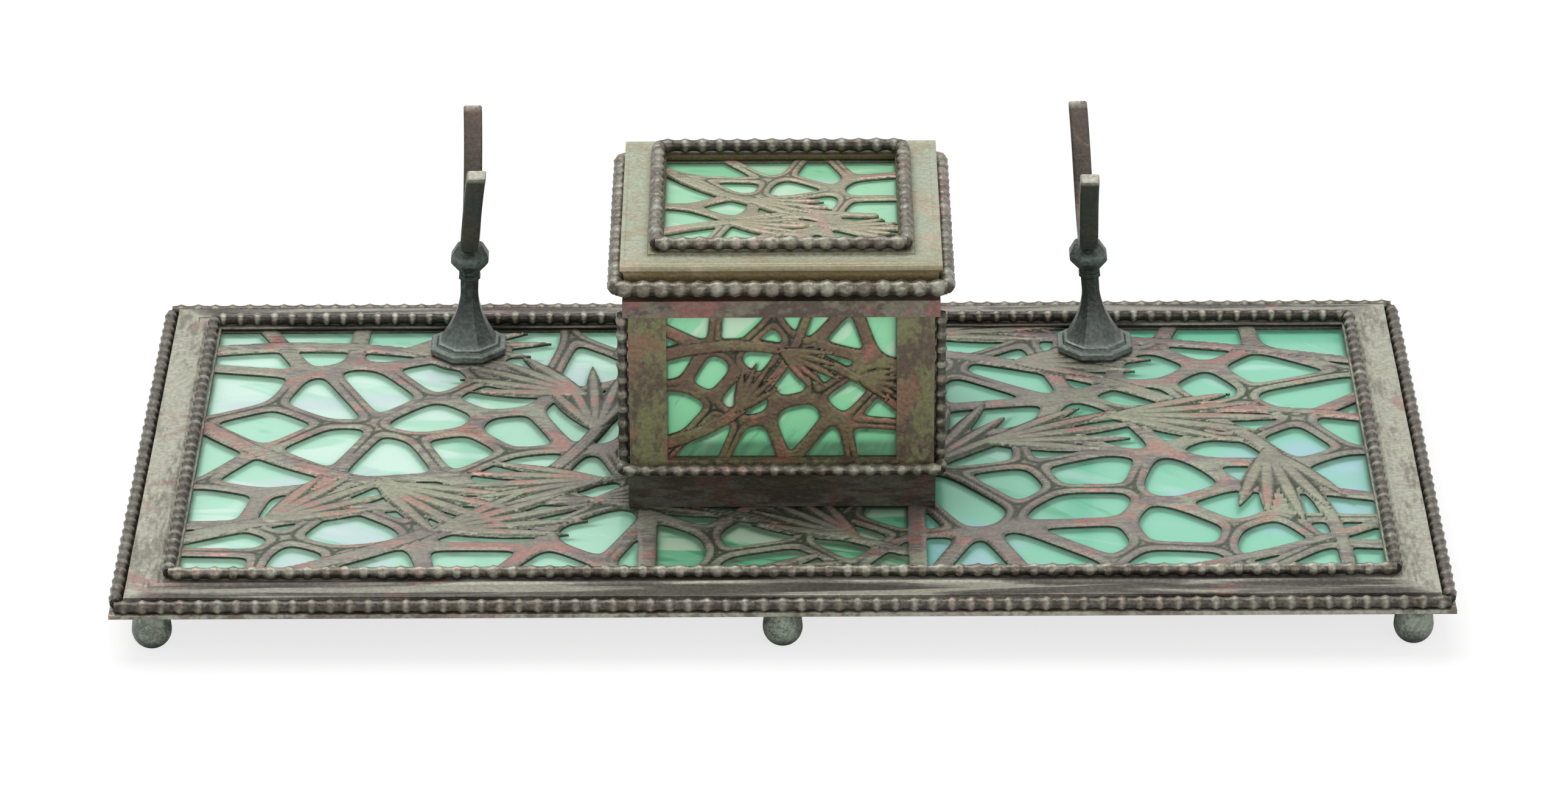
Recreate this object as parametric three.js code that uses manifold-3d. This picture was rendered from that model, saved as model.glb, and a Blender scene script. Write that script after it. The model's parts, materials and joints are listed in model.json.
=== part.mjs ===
// Desk inkstand: a beaded bronze tray on ball feet with pierced bronze over streaked glass,
// a square inkwell box with a hinged lid in the middle and two forked pen rests behind it.
// Millimetres, +Z up, +X along the tray, front towards -Y, origin under the tray's centre.
import * as THREE from 'three';
import { mergeVertices } from 'three/addons/utils/BufferGeometryUtils.js';
import Module from 'manifold-3d';

const wasm = await Module();
wasm.setup();

// Clearances and sheets shared by the whole stand
const fitGap = 0.3;
const cutOverrun = 2;
const sheetThickness = 1;
const glassThickness = 2.2;
const plateThickness = 0.8;
const flangeThickness = 0.8;

// Tray frame, between the faces that carry the bead rows
const trayLength = 297.5;
const trayDepth = 158.5;
const trayBorder = 11.2;
const trayWall = 2.4;
const traySheetCatch = 3.2;
const trayLipHeight = 0.8;
const trayLipReach = 0.5;
const ridgeInset = 6.4;
const ridgeWidth = 0.8;
const ridgeHeight = 0.3;
const trayPaneSeam = 31;
const trayPaneWellMargin = 5;

// Ball feet
const footDiameter = 9.3;
const footHeight = 10;
const footPadRadius = 1.6;
const footNeckRadius = 2.4;
const footStudRadius = 1.1;
const footStudLength = 3;
const footInset = 5.6;
const footBossWall = 0.8;
const footsPerSide = 3;
const footSides = 9;
const footRings = 4;

// Beads: across, and out from the face that carries them
const beadPitch = 4.25;
const outerBead = 3.9;
const outerBeadDrop = 2;
const innerBead = 3.4;
const flangeBead = 4.2;
const flangeBeadReach = 3.9;
const lidBead = 3.6;
const smallBeadPitch = 3.6;
const baseBead = 3.2;
const baseBeadReach = 3.05;
const columnBead = 3;
const beadNeckShare = 0.55;
const beadShoulderShare = 0.62;

// Pen rests
const penRestSpacing = 152.8;
const penRestInset = 23.25;
const restRingDiameter = 19.6;
const restRingHeight = 2.6;
const restFlareDiameter = 15.6;
const restNeckDiameter = 4.7;
const restNeckHeight = 19.6;
const restKnopDiameter = 9.8;
const restKnopHeight = 24.9;
const restKnopHalf = 3.4;
const restSeatRadius = 3;
const restSides = 8;
const restStudRadius = 1.5;
const restStudLength = 3;
const restNutRadius = 3.6;
const restNutHeight = 1.7;
const restPadMargin = 0.8;
const forkReach = 21.3;
const forkRise = 25.3;
const forkBarWidth = 4.5;
const forkBarThickness = 3.6;
const forkTangRadius = 1.6;
const forkTangLength = 4;

// How each rest is bent: its post leans to the side, measured at the knop, and at the tips the fork
// leans further, twists and nods to the front
const restBendLeft = { postLean: 0.95, lean: 0.65, twist: -1.25, nod: 0 };
const restBendRight = { postLean: -2.05, lean: 0.9, twist: -0.5, nod: 1.15 };
const forkTaperShare = 0.25;
const forkSteps = 9;

// Fork's half centre line as shares of its reach and rise
const forkCurveShares = [[0, 0], [0.78, -0.02], [0.52, 0.5], [1, 1]];

// Outline of the rest's foot ring and flared column as shares: radius of its own ring or flare, height
const restRingShares = { lowHeight: 0.35, highHeight: 0.7 };
const restFlareShares = [[0.74, 0.14], [0.52, 0.36]];
const restNeckTopShare = 0.68;
const restCollarShare = 1.15;
const restKnopBandShare = 0.25;

// Inkwell box
const boxBack = 3.5;
const plinthWidth = 71;
const plinthHeight = 8.4;
const plinthWall = 2.6;
const plinthFloor = 1.6;
const bodyWidth = 70.3;
const bodyWall = 1.6;
const bodyHeight = 43.4;
const windowWidth = 53;
const windowSill = 3.3;
const railWidth = 72.8;
const railHeight = 4.1;
const railLap = 2.8;
const windowHead = 2.9;
const railOpening = 62.4;
const lipWidth = 66;
const lipRise = 1.4;
const collarThickness = 1.2;
const panelSideGap = 0.35;
const panelSillLap = 1.6;
const screwSpacing = 44;
const screwRadius = 1.3;
const screwHeadRadius = 2.6;
const screwHeadHeight = 1.6;
const screwLength = 4.4;

// Ink liner of clear glass
const linerRadius = 24.4;
const linerWall = 3;
const linerDepth = 32;
const linerRimRadius = 27.4;
const linerRimHeight = 2.2;
const linerBevel = 3;

// Lid
const lidWidth = 73.7;
const lidEdge = 1.3;
const lidCoveWidth = 72.2;
const lidCoveHeight = 1.7;
const lidFlangeWidth = 72;
const lidFlangeHeight = 4.2;
const lidRecess = 64.8;
const lidOpening = 54;
const lidSheetCatch = 4;
const lidSeatWidth = 3.6;
const lidSeatHeight = 0.4;
const lidRest = 0.4;

// Hinge behind the top rail
const hingeBack = 38.1;
const hingeDrop = 1.6;
const hingeLength = 40;
const hingeKnuckles = 5;
const knuckleRadius = 1.3;
const knuckleSides = 8;
const pinRadius = 0.6;
const leafThickness = 0.7;
const leafDepth = 2.8;
const tabThickness = 0.8;

// Pierced pattern: openings between bars, with bowed stems laid over them
const trayPebbleWidth = 19.6;
const trayPebbleDepth = 15.1;
const trayBar = 4.2;
const boxPebbleWidth = 8.8;
const boxPebbleHeight = 9.3;
const boxBar = 2.9;
const lidPebbleWidth = 10.8;
const smallestWindow = 2.2;
const shortestEdge = 0.5;
const pebbleJitterShare = 0.24;
const pebbleWaveAcross = { column: 2.4, row: 4.1 };
const pebbleWaveAlong = { phase: 1.7, column: 3.7, row: 1.9 };
const pebbleMerge = { column: 5.3, row: 2.9, limit: 0.8 };
const trayPhase = 0.6;
const lidPhase = 2.2;
const brickShiftShare = 0.2;
const trayStem = 5.2;
const boxStem = 3.4;
const stemSteps = 5;

// Each stem: start x and y, end x and y as shares of the opening, then bow as a share of its length
const trayStemShares = [
  [0.0, 0.16, 0.6, 0.1, 0.14],
  [0.06, 0.0, 0.37, 0.94, -0.16],
  [0.0, 0.6, 0.38, 0.4, -0.18],
  [0.0, 0.92, 0.36, 0.66, 0.14],
  [0.4, 0.02, 1.0, 0.2, -0.12],
  [0.62, 0.9, 0.97, 0.0, 0.2],
  [0.6, 0.38, 1.0, 0.62, 0.16],
  [0.36, 0.9, 1.0, 0.86, 0.07],
];
const boxStemShares = [
  [0.0, 0.1, 0.62, 1.0, -0.14],
  [0.0, 0.7, 1.0, 0.34, 0.14],
];
const lidStemShares = [
  [0.0, 0.24, 1.0, 0.1, 0.16],
  [0.0, 0.9, 0.9, 0.4, -0.12],
];
const stemTaperShare = 0.35;

// Each leaf spray: number of the stem that it grows from, place on that stem, turn from it in degrees,
// length as a share of the longest
const traySprayLength = 44;
const boxSprayLength = 17;
const lidSprayLength = 21;
const traySprayShares = [
  [0, 0.1, 18, 0.85],
  [0, 0.55, 16, 1],
  [1, 0.28, -20, 0.95],
  [1, 0.7, 22, 0.85],
  [2, 0.45, -18, 1],
  [3, 0.4, 20, 0.85],
  [4, 0.35, -16, 1],
  [5, 0.12, 24, 0.8],
  [5, 0.6, -20, 0.95],
  [6, 0.5, -18, 1],
  [7, 0.4, 18, 0.95],
  [0, 0.94, 166, 0.8],
  [4, 0.08, 20, 0.8],
  [2, 0.94, 168, 0.9],
  [3, 0.9, -166, 0.85],
  [6, 0.06, 20, 0.9],
  [6, 0.22, -20, 0.9],
];
const boxSprayShares = [
  [0, 0.35, 20, 0.9],
  [1, 0.45, -18, 1],
  [1, 0.8, 20, 0.75],
];
const lidSprayShares = [
  [0, 0.25, -16, 1],
  [0, 0.7, 18, 0.85],
  [1, 0.45, 18, 1],
];
const sprayBlades = 5;
const sprayBladeTurn = 12;
const sprayNotchShare = 0.55;
const sprayShortenShare = 0.12;

// Worked out from the sizes above
const penRestBack = trayDepth / 2 - penRestInset;
const trayThickness = plateThickness + glassThickness + sheetThickness + flangeThickness;
const trayBottom = footHeight;
const trayTop = trayBottom + trayThickness;
const glassBottom = trayBottom + plateThickness;
const sheetBottom = glassBottom + glassThickness;
const sheetTop = sheetBottom + sheetThickness;
const openingLength = trayLength - 2 * trayBorder;
const openingDepth = trayDepth - 2 * trayBorder;
const sheetLength = openingLength + 2 * traySheetCatch;
const sheetDepth = openingDepth + 2 * traySheetCatch;
const restPadRadius = restRingDiameter / 2 + restPadMargin;

const bodyBottom = plinthHeight;
const bodyTop = bodyBottom + bodyHeight;
const bodyInside = bodyWidth - 2 * bodyWall;
const railTop = bodyTop + flangeThickness;
const collarBottom = bodyTop - collarThickness;
const windowBottom = bodyBottom + windowSill;
const windowTop = bodyTop - windowHead;
const panelWidth = bodyInside - 2 * (sheetThickness + glassThickness + panelSideGap);
const panelBottom = windowBottom - panelSillLap;
const lidBottom = railTop + lipRise + lidRest;
const lidTop = lidBottom + lidFlangeHeight + lidCoveHeight + lidEdge;
const lidSheetTop = lidTop - flangeThickness;
const hingeHeight = lidBottom - hingeDrop;

// Finishes
const bronze = (colour, roughness) => new THREE.MeshStandardMaterial({
  color: colour, roughness, metalness: 0.85,
});
const verdigrisBronze = bronze(0x7d7f6c, 0.62);
const darkBronze = bronze(0x4a3f35, 0.58);
const restBronze = bronze(0x4b504b, 0.55);
const barBronze = bronze(0x7a6a60, 0.6);
const paleGlass = new THREE.MeshStandardMaterial({ color: 0xb4e4cc, roughness: 0.25 });
const greenGlass = new THREE.MeshStandardMaterial({ color: 0x5fc39a, roughness: 0.25 });
const clearGlass = new THREE.MeshStandardMaterial({ color: 0xdfeae6, roughness: 0.08 });
const steel = new THREE.MeshStandardMaterial({ color: 0x8c8880, roughness: 0.4, metalness: 0.9 });

// Solid from a closed geometry, and geometry from a solid
function solid(geometry) {
  const bare = geometry.index ? geometry.toNonIndexed() : geometry.clone();
  bare.deleteAttribute('normal');
  bare.deleteAttribute('uv');
  const merged = mergeVertices(bare);
  return new wasm.Manifold(new wasm.Mesh({
    numProp: 3,
    vertProperties: new Float32Array(merged.attributes.position.array),
    triVerts: new Uint32Array(merged.index.array),
  }));
}

function geometryOf(body) {
  const mesh = body.getMesh();
  const geometry = new THREE.BufferGeometry();
  geometry.setAttribute('position', new THREE.BufferAttribute(new Float32Array(mesh.vertProperties), 3));
  geometry.setIndex(new THREE.BufferAttribute(new Uint32Array(mesh.triVerts), 1));
  geometry.computeVertexNormals();
  return geometry;
}

// Block centred on x and y, standing on its bottom
function block(width, depth, height, x, y, bottom) {
  return new THREE.BoxGeometry(width, depth, height).translate(x, y, bottom + height / 2);
}

// Round bar along Z
function post(radius, bottom, top, sides, x = 0, y = 0) {
  return new THREE.CylinderGeometry(radius, radius, top - bottom, sides)
    .rotateX(Math.PI / 2).translate(x, y, (bottom + top) / 2);
}

// Body of revolution about Z from points of radius and height, listed from the bottom to the top
function turned(points, sides, turn = 0) {
  return new THREE.LatheGeometry(points.map(([radius, height]) => new THREE.Vector2(radius, height)), sides)
    .rotateX(Math.PI / 2).rotateZ(turn);
}

// Rectangle as a closed outline or as a hole
function rectangle(width, depth, x = 0, y = 0, Kind = THREE.Shape) {
  const outline = new Kind();
  outline.moveTo(x - width / 2, y - depth / 2);
  outline.lineTo(x + width / 2, y - depth / 2);
  outline.lineTo(x + width / 2, y + depth / 2);
  outline.lineTo(x - width / 2, y + depth / 2);
  outline.closePath();
  return outline;
}

function disc(radius, x = 0, y = 0, Kind = THREE.Shape) {
  return new Kind().absarc(x, y, radius, 0, 2 * Math.PI, false);
}

// Flat plate of an outline with holes
function sheet(outline, holes, bottom, thickness, curveSegments = 12) {
  outline.holes.push(...holes);
  return new THREE.ExtrudeGeometry(outline, { depth: thickness, bevelEnabled: false, curveSegments })
    .translate(0, 0, bottom);
}

// Square or oblong ring standing on its bottom
function ring(outerWidth, outerDepth, innerWidth, innerDepth, bottom, height) {
  return sheet(rectangle(outerWidth, outerDepth),
    [rectangle(innerWidth, innerDepth, 0, 0, THREE.Path)], bottom, height);
}

// Closed skin over a row of sections with the same number of corners each
function skin(sections, closed) {
  const corners = sections[0].length;
  const index = [];
  const spans = closed ? sections.length : sections.length - 1;
  for (let span = 0; span < spans; span += 1) {
    const here = span * corners;
    const next = ((span + 1) % sections.length) * corners;
    for (let corner = 0; corner < corners; corner += 1) {
      const after = (corner + 1) % corners;
      index.push(here + corner, next + corner, next + after, here + corner, next + after, here + after);
    }
  }
  if (!closed) {
    const last = (sections.length - 1) * corners;
    for (let corner = 1; corner < corners - 1; corner += 1) {
      index.push(0, corner, corner + 1, last, last + corner + 1, last + corner);
    }
  }
  const geometry = new THREE.BufferGeometry();
  geometry.setAttribute('position', new THREE.Float32BufferAttribute(sections.flat(2), 3));
  geometry.setIndex(index);
  geometry.computeVertexNormals();
  return geometry;
}

// Section of a bead against a wall: flat back on the wall, reaching out, centred on a height
function wallSection(bead, reach) {
  const shoulder = bead / 2 * beadShoulderShare;
  return [[0, -bead / 2], [reach, -shoulder], [reach, shoulder], [0, bead / 2]];
}

// The same for small beads: a ridge in place of a flat front
function ridgeSection(bead, reach) {
  return [[0, -bead / 2], [reach, 0], [0, bead / 2]];
}

// Section of a bead standing on a face
function standingSection(bead) {
  return [[-bead / 2, 0], [bead / 2, 0], [0, bead]];
}

// Places along a run where the string is thick or drawn in to a neck, from 0 to 1
function beadStations(count, closed) {
  const stations = [];
  for (let step = 0; step < 2 * count + (closed ? 0 : 1); step += 1) {
    stations.push({ share: step / (2 * count), size: step % 2 ? 1 : beadNeckShare });
  }
  return stations;
}

// Straight bead string from one point to another; out and up turn a section into space
function beadRun(start, end, pitch, section, out, up) {
  const count = Math.max(1, Math.round(start.distanceTo(end) / pitch));
  return skin(beadStations(count, false).map(({ share, size }) => {
    const centre = start.clone().lerp(end, share);
    return section.map(([reach, rise]) => centre.clone()
      .addScaledVector(out, reach * size).addScaledVector(up, rise * size).toArray());
  }), false);
}

// Bead string round a rectangle in one piece, its corners at necks
function beadLoop(width, depth, height, pitch, section) {
  const corners = [[-1, -1], [1, -1], [1, 1], [-1, 1]].map(([x, y]) => [x * width / 2, y * depth / 2]);
  const sections = [];
  corners.forEach(([x, y], side) => {
    const [nextX, nextY] = corners[(side + 1) % corners.length];
    const length = Math.hypot(nextX - x, nextY - y);
    const [alongX, alongY] = [(nextX - x) / length, (nextY - y) / length];
    const count = Math.round(length / pitch);
    beadStations(count, true).forEach(({ share, size }, step) => {
      const before = step === 0 ? 1 : 0;
      const outX = alongY + before * -alongX;
      const outY = -alongX + before * -alongY;
      sections.push(section.map(([reach, rise]) => [
        x + alongX * length * share + outX * reach * size,
        y + alongY * length * share + outY * reach * size,
        height + rise * size,
      ]));
    });
  });
  return skin(sections, true);
}

// Centres of the rounded openings: brick rows, each nudged a little by slow waves. Here and there
// one is left out, and its neighbours grow into its place.
function pebbleCentres(width, depth, [pitchX, pitchY], phase) {
  const columns = Math.round(width / pitchX);
  const rows = Math.round(depth / pitchY);
  const centres = [];
  for (let row = 0; row < rows; row += 1) {
    for (let column = 0; column < columns; column += 1) {
      const merge = Math.sin(phase + pebbleMerge.column * column + pebbleMerge.row * row);
      if (merge > pebbleMerge.limit) continue;
      const across = Math.sin(phase + pebbleWaveAcross.column * column + pebbleWaveAcross.row * row);
      const along = Math.cos(pebbleWaveAlong.phase * phase + pebbleWaveAlong.column * column
        + pebbleWaveAlong.row * row);
      const brick = row % 2 ? brickShiftShare : -brickShiftShare;
      centres.push([
        ((column + 0.5 + brick + pebbleJitterShare * across) / columns - 0.5) * width,
        ((row + 0.5 + pebbleJitterShare * along) / rows - 0.5) * depth,
      ]);
    }
  }
  return centres;
}

// Part of a convex outline on the near side of a line
function clip(outline, normalX, normalY, limit) {
  const kept = [];
  outline.forEach(([x, y], corner) => {
    const [nextX, nextY] = outline[(corner + 1) % outline.length];
    const here = normalX * x + normalY * y - limit;
    const next = normalX * nextX + normalY * nextY - limit;
    if (here <= 0) kept.push([x, y]);
    if (here < 0 !== next < 0 && here !== next) {
      const share = here / (here - next);
      kept.push([x + (nextX - x) * share, y + (nextY - y) * share]);
    }
  });
  return kept;
}

// Outline without the corners that lie too near to the one before
function withoutShortEdges(outline) {
  return outline.filter(([x, y], corner) => {
    const [lastX, lastY] = outline[(corner + outline.length - 1) % outline.length];
    return Math.hypot(x - lastX, y - lastY) > shortestEdge;
  });
}

// Openings between the centres, each half a bar inside the line midway to its neighbours
function pebbleWindows(width, depth, pitches, bar, phase) {
  const centres = pebbleCentres(width, depth, pitches, phase);
  const windows = [];
  centres.forEach(([x, y]) => {
    let outline = [[-1, -1], [1, -1], [1, 1], [-1, 1]].map(([a, b]) => [a * width / 2, b * depth / 2]);
    centres.forEach(([otherX, otherY]) => {
      const distance = Math.hypot(otherX - x, otherY - y);
      if (distance === 0) return;
      const [normalX, normalY] = [(otherX - x) / distance, (otherY - y) / distance];
      const middle = normalX * (x + otherX) / 2 + normalY * (y + otherY) / 2;
      outline = clip(outline, normalX, normalY, middle - bar / 2);
    });
    outline = withoutShortEdges(outline);
    const area = Math.abs(THREE.ShapeUtils.area(outline.map(([a, b]) => new THREE.Vector2(a, b))));
    if (area > smallestWindow * smallestWindow) windows.push(outline);
  });
  return windows;
}

// Point and direction on a bowed stem
function stemPoint([startX, startY, endX, endY], bow, share) {
  const [chordX, chordY] = [endX - startX, endY - startY];
  const lift = 4 * bow * share * (1 - share);
  const slope = 4 * bow * (1 - 2 * share);
  return {
    x: startX + chordX * share - chordY * lift,
    y: startY + chordY * share + chordX * lift,
    angle: Math.atan2(chordY + chordX * slope, chordX - chordY * slope),
  };
}

// Outline of a stem that narrows a little towards its end
function stemOutline(ends, bow, width) {
  const [left, right] = [[], []];
  for (let step = 0; step <= stemSteps; step += 1) {
    const share = step / stemSteps;
    const { x, y, angle } = stemPoint(ends, bow, share);
    const half = width * (1 - stemTaperShare * share) / 2;
    right.push([x + Math.sin(angle) * half, y - Math.cos(angle) * half]);
    left.unshift([x - Math.sin(angle) * half, y + Math.cos(angle) * half]);
  }
  return right.concat(left);
}

// Outline of a spray of slender leaves that fan out from one place on a stem, with notches between their tips
function sprayOutline(ends, bow, length, [, place, turn, lengthShare]) {
  const { x, y, angle } = stemPoint(ends, bow, place);
  const points = [[x, y]];
  for (let half = 0; half <= 2 * (sprayBlades - 1); half += 1) {
    const away = half / 2 - (sprayBlades - 1) / 2;
    const heading = angle + (turn + away * sprayBladeTurn) * Math.PI / 180;
    const reach = half % 2 ? sprayNotchShare : 1 - sprayShortenShare * Math.abs(away);
    const distance = length * lengthShare * reach;
    points.push([x + Math.cos(heading) * distance, y + Math.sin(heading) * distance]);
  }
  return points;
}

const shapeOf = (outline, Kind = THREE.Shape) => new Kind(outline.map(([x, y]) => new THREE.Vector2(x, y)));

// Pierced sheet from z = 0 up: border, bars, stems, leaf sprays and solid pads in one piece
function piercedSheet({
  width, depth, openWidth, openDepth, pitches, bar, phase, stems, stemWidth, sprays, sprayLength, pads,
}) {
  const limits = solid(block(width, depth, sheetThickness, 0, 0, 0));
  let body = limits;
  pebbleWindows(openWidth, openDepth, pitches, bar, phase).forEach((outline) => {
    body = body.subtract(solid(sheet(shapeOf(outline), [], -cutOverrun, sheetThickness + 2 * cutOverrun)));
  });
  stems.forEach(([startX, startY, endX, endY, bow], number) => {
    const ends = [(startX - 0.5) * openWidth, (startY - 0.5) * openDepth,
      (endX - 0.5) * openWidth, (endY - 0.5) * openDepth];
    const leaves = sprays.filter(([stem]) => stem === number)
      .map((spray) => sprayOutline(ends, bow, sprayLength, spray));
    [stemOutline(ends, bow, stemWidth), ...leaves].forEach((outline) => {
      body = body.add(solid(sheet(shapeOf(outline), [], 0, sheetThickness)).intersect(limits));
    });
  });
  pads.forEach((pad) => {
    body = body.add(solid(sheet(pad, [], 0, sheetThickness, 5)));
  });
  return body;
}

// Tray frame: wall, top flange, ridge line, bottom lip and a boss over each foot
function trayFrame() {
  const wallInsideLength = trayLength - 2 * trayWall;
  const wallInsideDepth = trayDepth - 2 * trayWall;
  const flange = ring(trayLength, trayDepth, openingLength, openingDepth, trayTop - flangeThickness, flangeThickness);
  const wall = ring(trayLength, trayDepth, wallInsideLength, wallInsideDepth, trayBottom, trayThickness);
  const lip = ring(trayLength + 2 * trayLipReach, trayDepth + 2 * trayLipReach,
    wallInsideLength, wallInsideDepth, trayBottom, trayLipHeight);
  const ridgeLength = trayLength - 2 * ridgeInset;
  const ridgeDepth = trayDepth - 2 * ridgeInset;
  const ridge = ring(ridgeLength, ridgeDepth, ridgeLength - 2 * ridgeWidth, ridgeDepth - 2 * ridgeWidth,
    trayTop - flangeThickness, flangeThickness + ridgeHeight);
  let body = solid(wall).add(solid(flange)).add(solid(lip)).add(solid(ridge));
  const bossHalf = footStudRadius + fitGap + footBossWall;
  footPlaces().forEach(([x, y]) => {
    const reachX = Math.abs(x) > trayLength / 2 - 2 * footInset ? Math.sign(x) : 0;
    const bossWidth = 2 * bossHalf;
    body = body.add(solid(block(bossWidth, bossWidth, trayTop - glassBottom, x, y, glassBottom)));
    const webDepth = footInset - trayWall + cutOverrun / 2 - bossHalf;
    body = body.add(solid(block(bossWidth, webDepth, trayTop - glassBottom, x,
      Math.sign(y) * (trayDepth / 2 - trayWall + cutOverrun / 2 - webDepth / 2), glassBottom)));
    if (reachX !== 0) {
      body = body.add(solid(block(webDepth, bossWidth, trayTop - glassBottom,
        reachX * (trayLength / 2 - trayWall + cutOverrun / 2 - webDepth / 2), y, glassBottom)));
    }
  });
  footPlaces().forEach(([x, y]) => {
    const top = glassBottom + footStudLength - plateThickness + fitGap;
    body = body.subtract(solid(post(footStudRadius + fitGap, trayBottom, top, 6, x, y)));
  });
  return geometryOf(body);
}

// Feet stand at the corners and halfway along the front and back
function footPlaces() {
  const places = [];
  for (let number = 0; number < footsPerSide; number += 1) {
    const x = (number / (footsPerSide - 1) - 0.5) * (trayLength - 2 * footInset);
    [-1, 1].forEach((side) => places.push([x, side * (trayDepth / 2 - footInset)]));
  }
  return places;
}

// Ball with a flat underneath, a short neck and a stud
function ballFoot() {
  const radius = footDiameter / 2;
  const centre = Math.sqrt(radius * radius - footPadRadius * footPadRadius);
  const low = -Math.asin(centre / radius);
  const high = Math.acos(footNeckRadius / radius);
  const points = [[0, 0]];
  for (let step = 0; step <= footRings; step += 1) {
    const angle = low + (high - low) * step / footRings;
    points.push([radius * Math.cos(angle), step === 0 ? 0 : centre + radius * Math.sin(angle)]);
  }
  points.push([footNeckRadius, footHeight], [footStudRadius, footHeight],
    [footStudRadius, footHeight + footStudLength], [0, footHeight + footStudLength]);
  return turned(points, footSides);
}

function trayBottomPlate() {
  const holes = footPlaces().map(([x, y]) => disc(footStudRadius + fitGap, x, y, THREE.Path));
  return sheet(rectangle(trayLength - 2 * (trayWall + fitGap), trayDepth - 2 * (trayWall + fitGap)), holes,
    trayBottom, plateThickness, 3);
}

// Screws come up through the pad under the box
const screwPlaces = [-1, 1].map((side) => [side * screwSpacing / 2, boxBack]);

function trayFiligree() {
  const pads = [-1, 1].map((side) => disc(restPadRadius, side * penRestSpacing / 2, penRestBack));
  pads.push(rectangle(plinthWidth - 2 * plinthWall, plinthWidth - 2 * plinthWall, 0, boxBack));
  // A straight bar hides each seam between the panes
  pads.push(...[-1, 1].map((side) => rectangle(trayBar, openingDepth, side * trayPaneSeam, 0)));
  let body = piercedSheet({
    width: sheetLength, depth: sheetDepth, openWidth: openingLength, openDepth: openingDepth,
    pitches: [trayPebbleWidth, trayPebbleDepth], bar: trayBar, phase: trayPhase, stems: trayStemShares,
    stemWidth: trayStem, sprays: traySprayShares, sprayLength: traySprayLength, pads,
  });
  [-1, 1].forEach((side) => {
    body = body.subtract(solid(post(restStudRadius + fitGap, -cutOverrun, sheetThickness + cutOverrun, 8,
      side * penRestSpacing / 2, penRestBack)));
  });
  screwPlaces.forEach(([x, y]) => {
    body = body.subtract(solid(post(screwRadius + fitGap, -cutOverrun, sheetThickness + cutOverrun, 8, x, y)));
  });
  return geometryOf(body);
}

// Side panes, each drilled for the pen rest's nut
function traySidePane(side) {
  const inner = trayPaneSeam;
  const outer = sheetLength / 2;
  const middle = side * (inner + outer) / 2;
  const nutHole = disc(restNutRadius + 2 * fitGap, side * penRestSpacing / 2, penRestBack, THREE.Path);
  return sheet(rectangle(outer - inner, sheetDepth, middle, 0), [nutHole], 0, glassThickness, 3);
}

// Panes in front of and behind the box; none lies under it
function trayMiddlePane(side) {
  const near = side * (plinthWidth / 2 - trayPaneWellMargin) + boxBack;
  const far = side * sheetDepth / 2;
  return block(2 * (trayPaneSeam - fitGap), Math.abs(far - near), glassThickness, 0, (near + far) / 2, 0);
}

// Eight-sided foot ring, flared column, neck, knop and a socket for the fork's tang
function penRestStand(restBend) {
  const ringRadius = restRingDiameter / 2;
  const flareRadius = restFlareDiameter / 2;
  const neckRadius = restNeckDiameter / 2;
  const knopRadius = restKnopDiameter / 2;
  const seat = forkSeat();
  const flareRise = restNeckHeight - restRingHeight;
  const points = [
    [0, -restStudLength], [restStudRadius, -restStudLength], [restStudRadius, 0],
    [ringRadius - restPadMargin, 0], [ringRadius, restRingHeight * restRingShares.lowHeight],
    [ringRadius, restRingHeight * restRingShares.highHeight],
    [flareRadius, restRingHeight],
    ...restFlareShares.map(([radiusShare, riseShare]) => (
      [flareRadius * radiusShare, restRingHeight + flareRise * riseShare])),
    [neckRadius, restRingHeight + flareRise * restNeckTopShare],
    [neckRadius, restNeckHeight],
    [neckRadius * restCollarShare, restKnopHeight - restKnopHalf],
    [knopRadius, restKnopHeight - restKnopHalf * restKnopBandShare],
    [knopRadius, restKnopHeight + restKnopHalf * restKnopBandShare],
    [restSeatRadius, seat],
    [forkTangRadius + fitGap, seat],
    [forkTangRadius + fitGap, seat - forkTangLength - fitGap],
    [0, seat - forkTangLength - fitGap],
  ];
  return leanPost(turned(points, restSides, Math.PI / restSides), restBend, 0);
}

function forkSeat() {
  return restKnopHeight + restKnopHalf;
}

function penRestNut() {
  const holeRadius = restStudRadius + fitGap;
  return turned([[holeRadius, -restNutHeight], [restNutRadius, -restNutHeight], [restNutRadius, 0],
    [holeRadius, 0], [holeRadius, -restNutHeight]], 6);
}

// Lyre fork in the Y-Z plane, drawn from one tip to the other
function forkOutline() {
  const curve = new THREE.CubicBezierCurve(...forkCurveShares.map(([reach, rise]) => (
    new THREE.Vector2(reach * forkReach, forkBarThickness / 2 + rise * forkRise))));
  const [inner, outer] = [[], []];
  for (let step = -forkSteps; step <= forkSteps; step += 1) {
    const share = Math.abs(step) / forkSteps;
    const side = step < 0 ? -1 : 1;
    const point = curve.getPoint(share);
    const tangent = curve.getTangent(share);
    const half = forkBarThickness / 2 * (1 - forkTaperShare * share);
    inner.push([side * (point.x - tangent.y * half), point.y + tangent.x * half]);
    outer.unshift([side * (point.x + tangent.y * half), point.y - tangent.x * half]);
  }
  return inner.concat(outer);
}

// Leans a post or fork to the side in step with the height above the foot; bottom is its own zero there
function leanPost(geometry, { postLean }, bottom) {
  const places = geometry.attributes.position;
  for (let number = 0; number < places.count; number += 1) {
    const height = Math.max(0, bottom + places.getZ(number));
    places.setX(number, places.getX(number) + postLean * height / restKnopHeight);
  }
  return geometry;
}

// Bends a fork: it leans, twists and nods more the higher it goes
function bendFork(geometry, { lean, twist, nod }) {
  const places = geometry.attributes.position;
  for (let number = 0; number < places.count; number += 1) {
    const [x, y, z] = [places.getX(number), places.getY(number), places.getZ(number)];
    const rise = Math.max(0, z) / forkRise;
    places.setXYZ(number, x + rise * (lean + twist * y / forkReach), y - rise * nod,
      z + rise * nod * y / forkRise);
  }
  return geometry;
}

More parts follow.
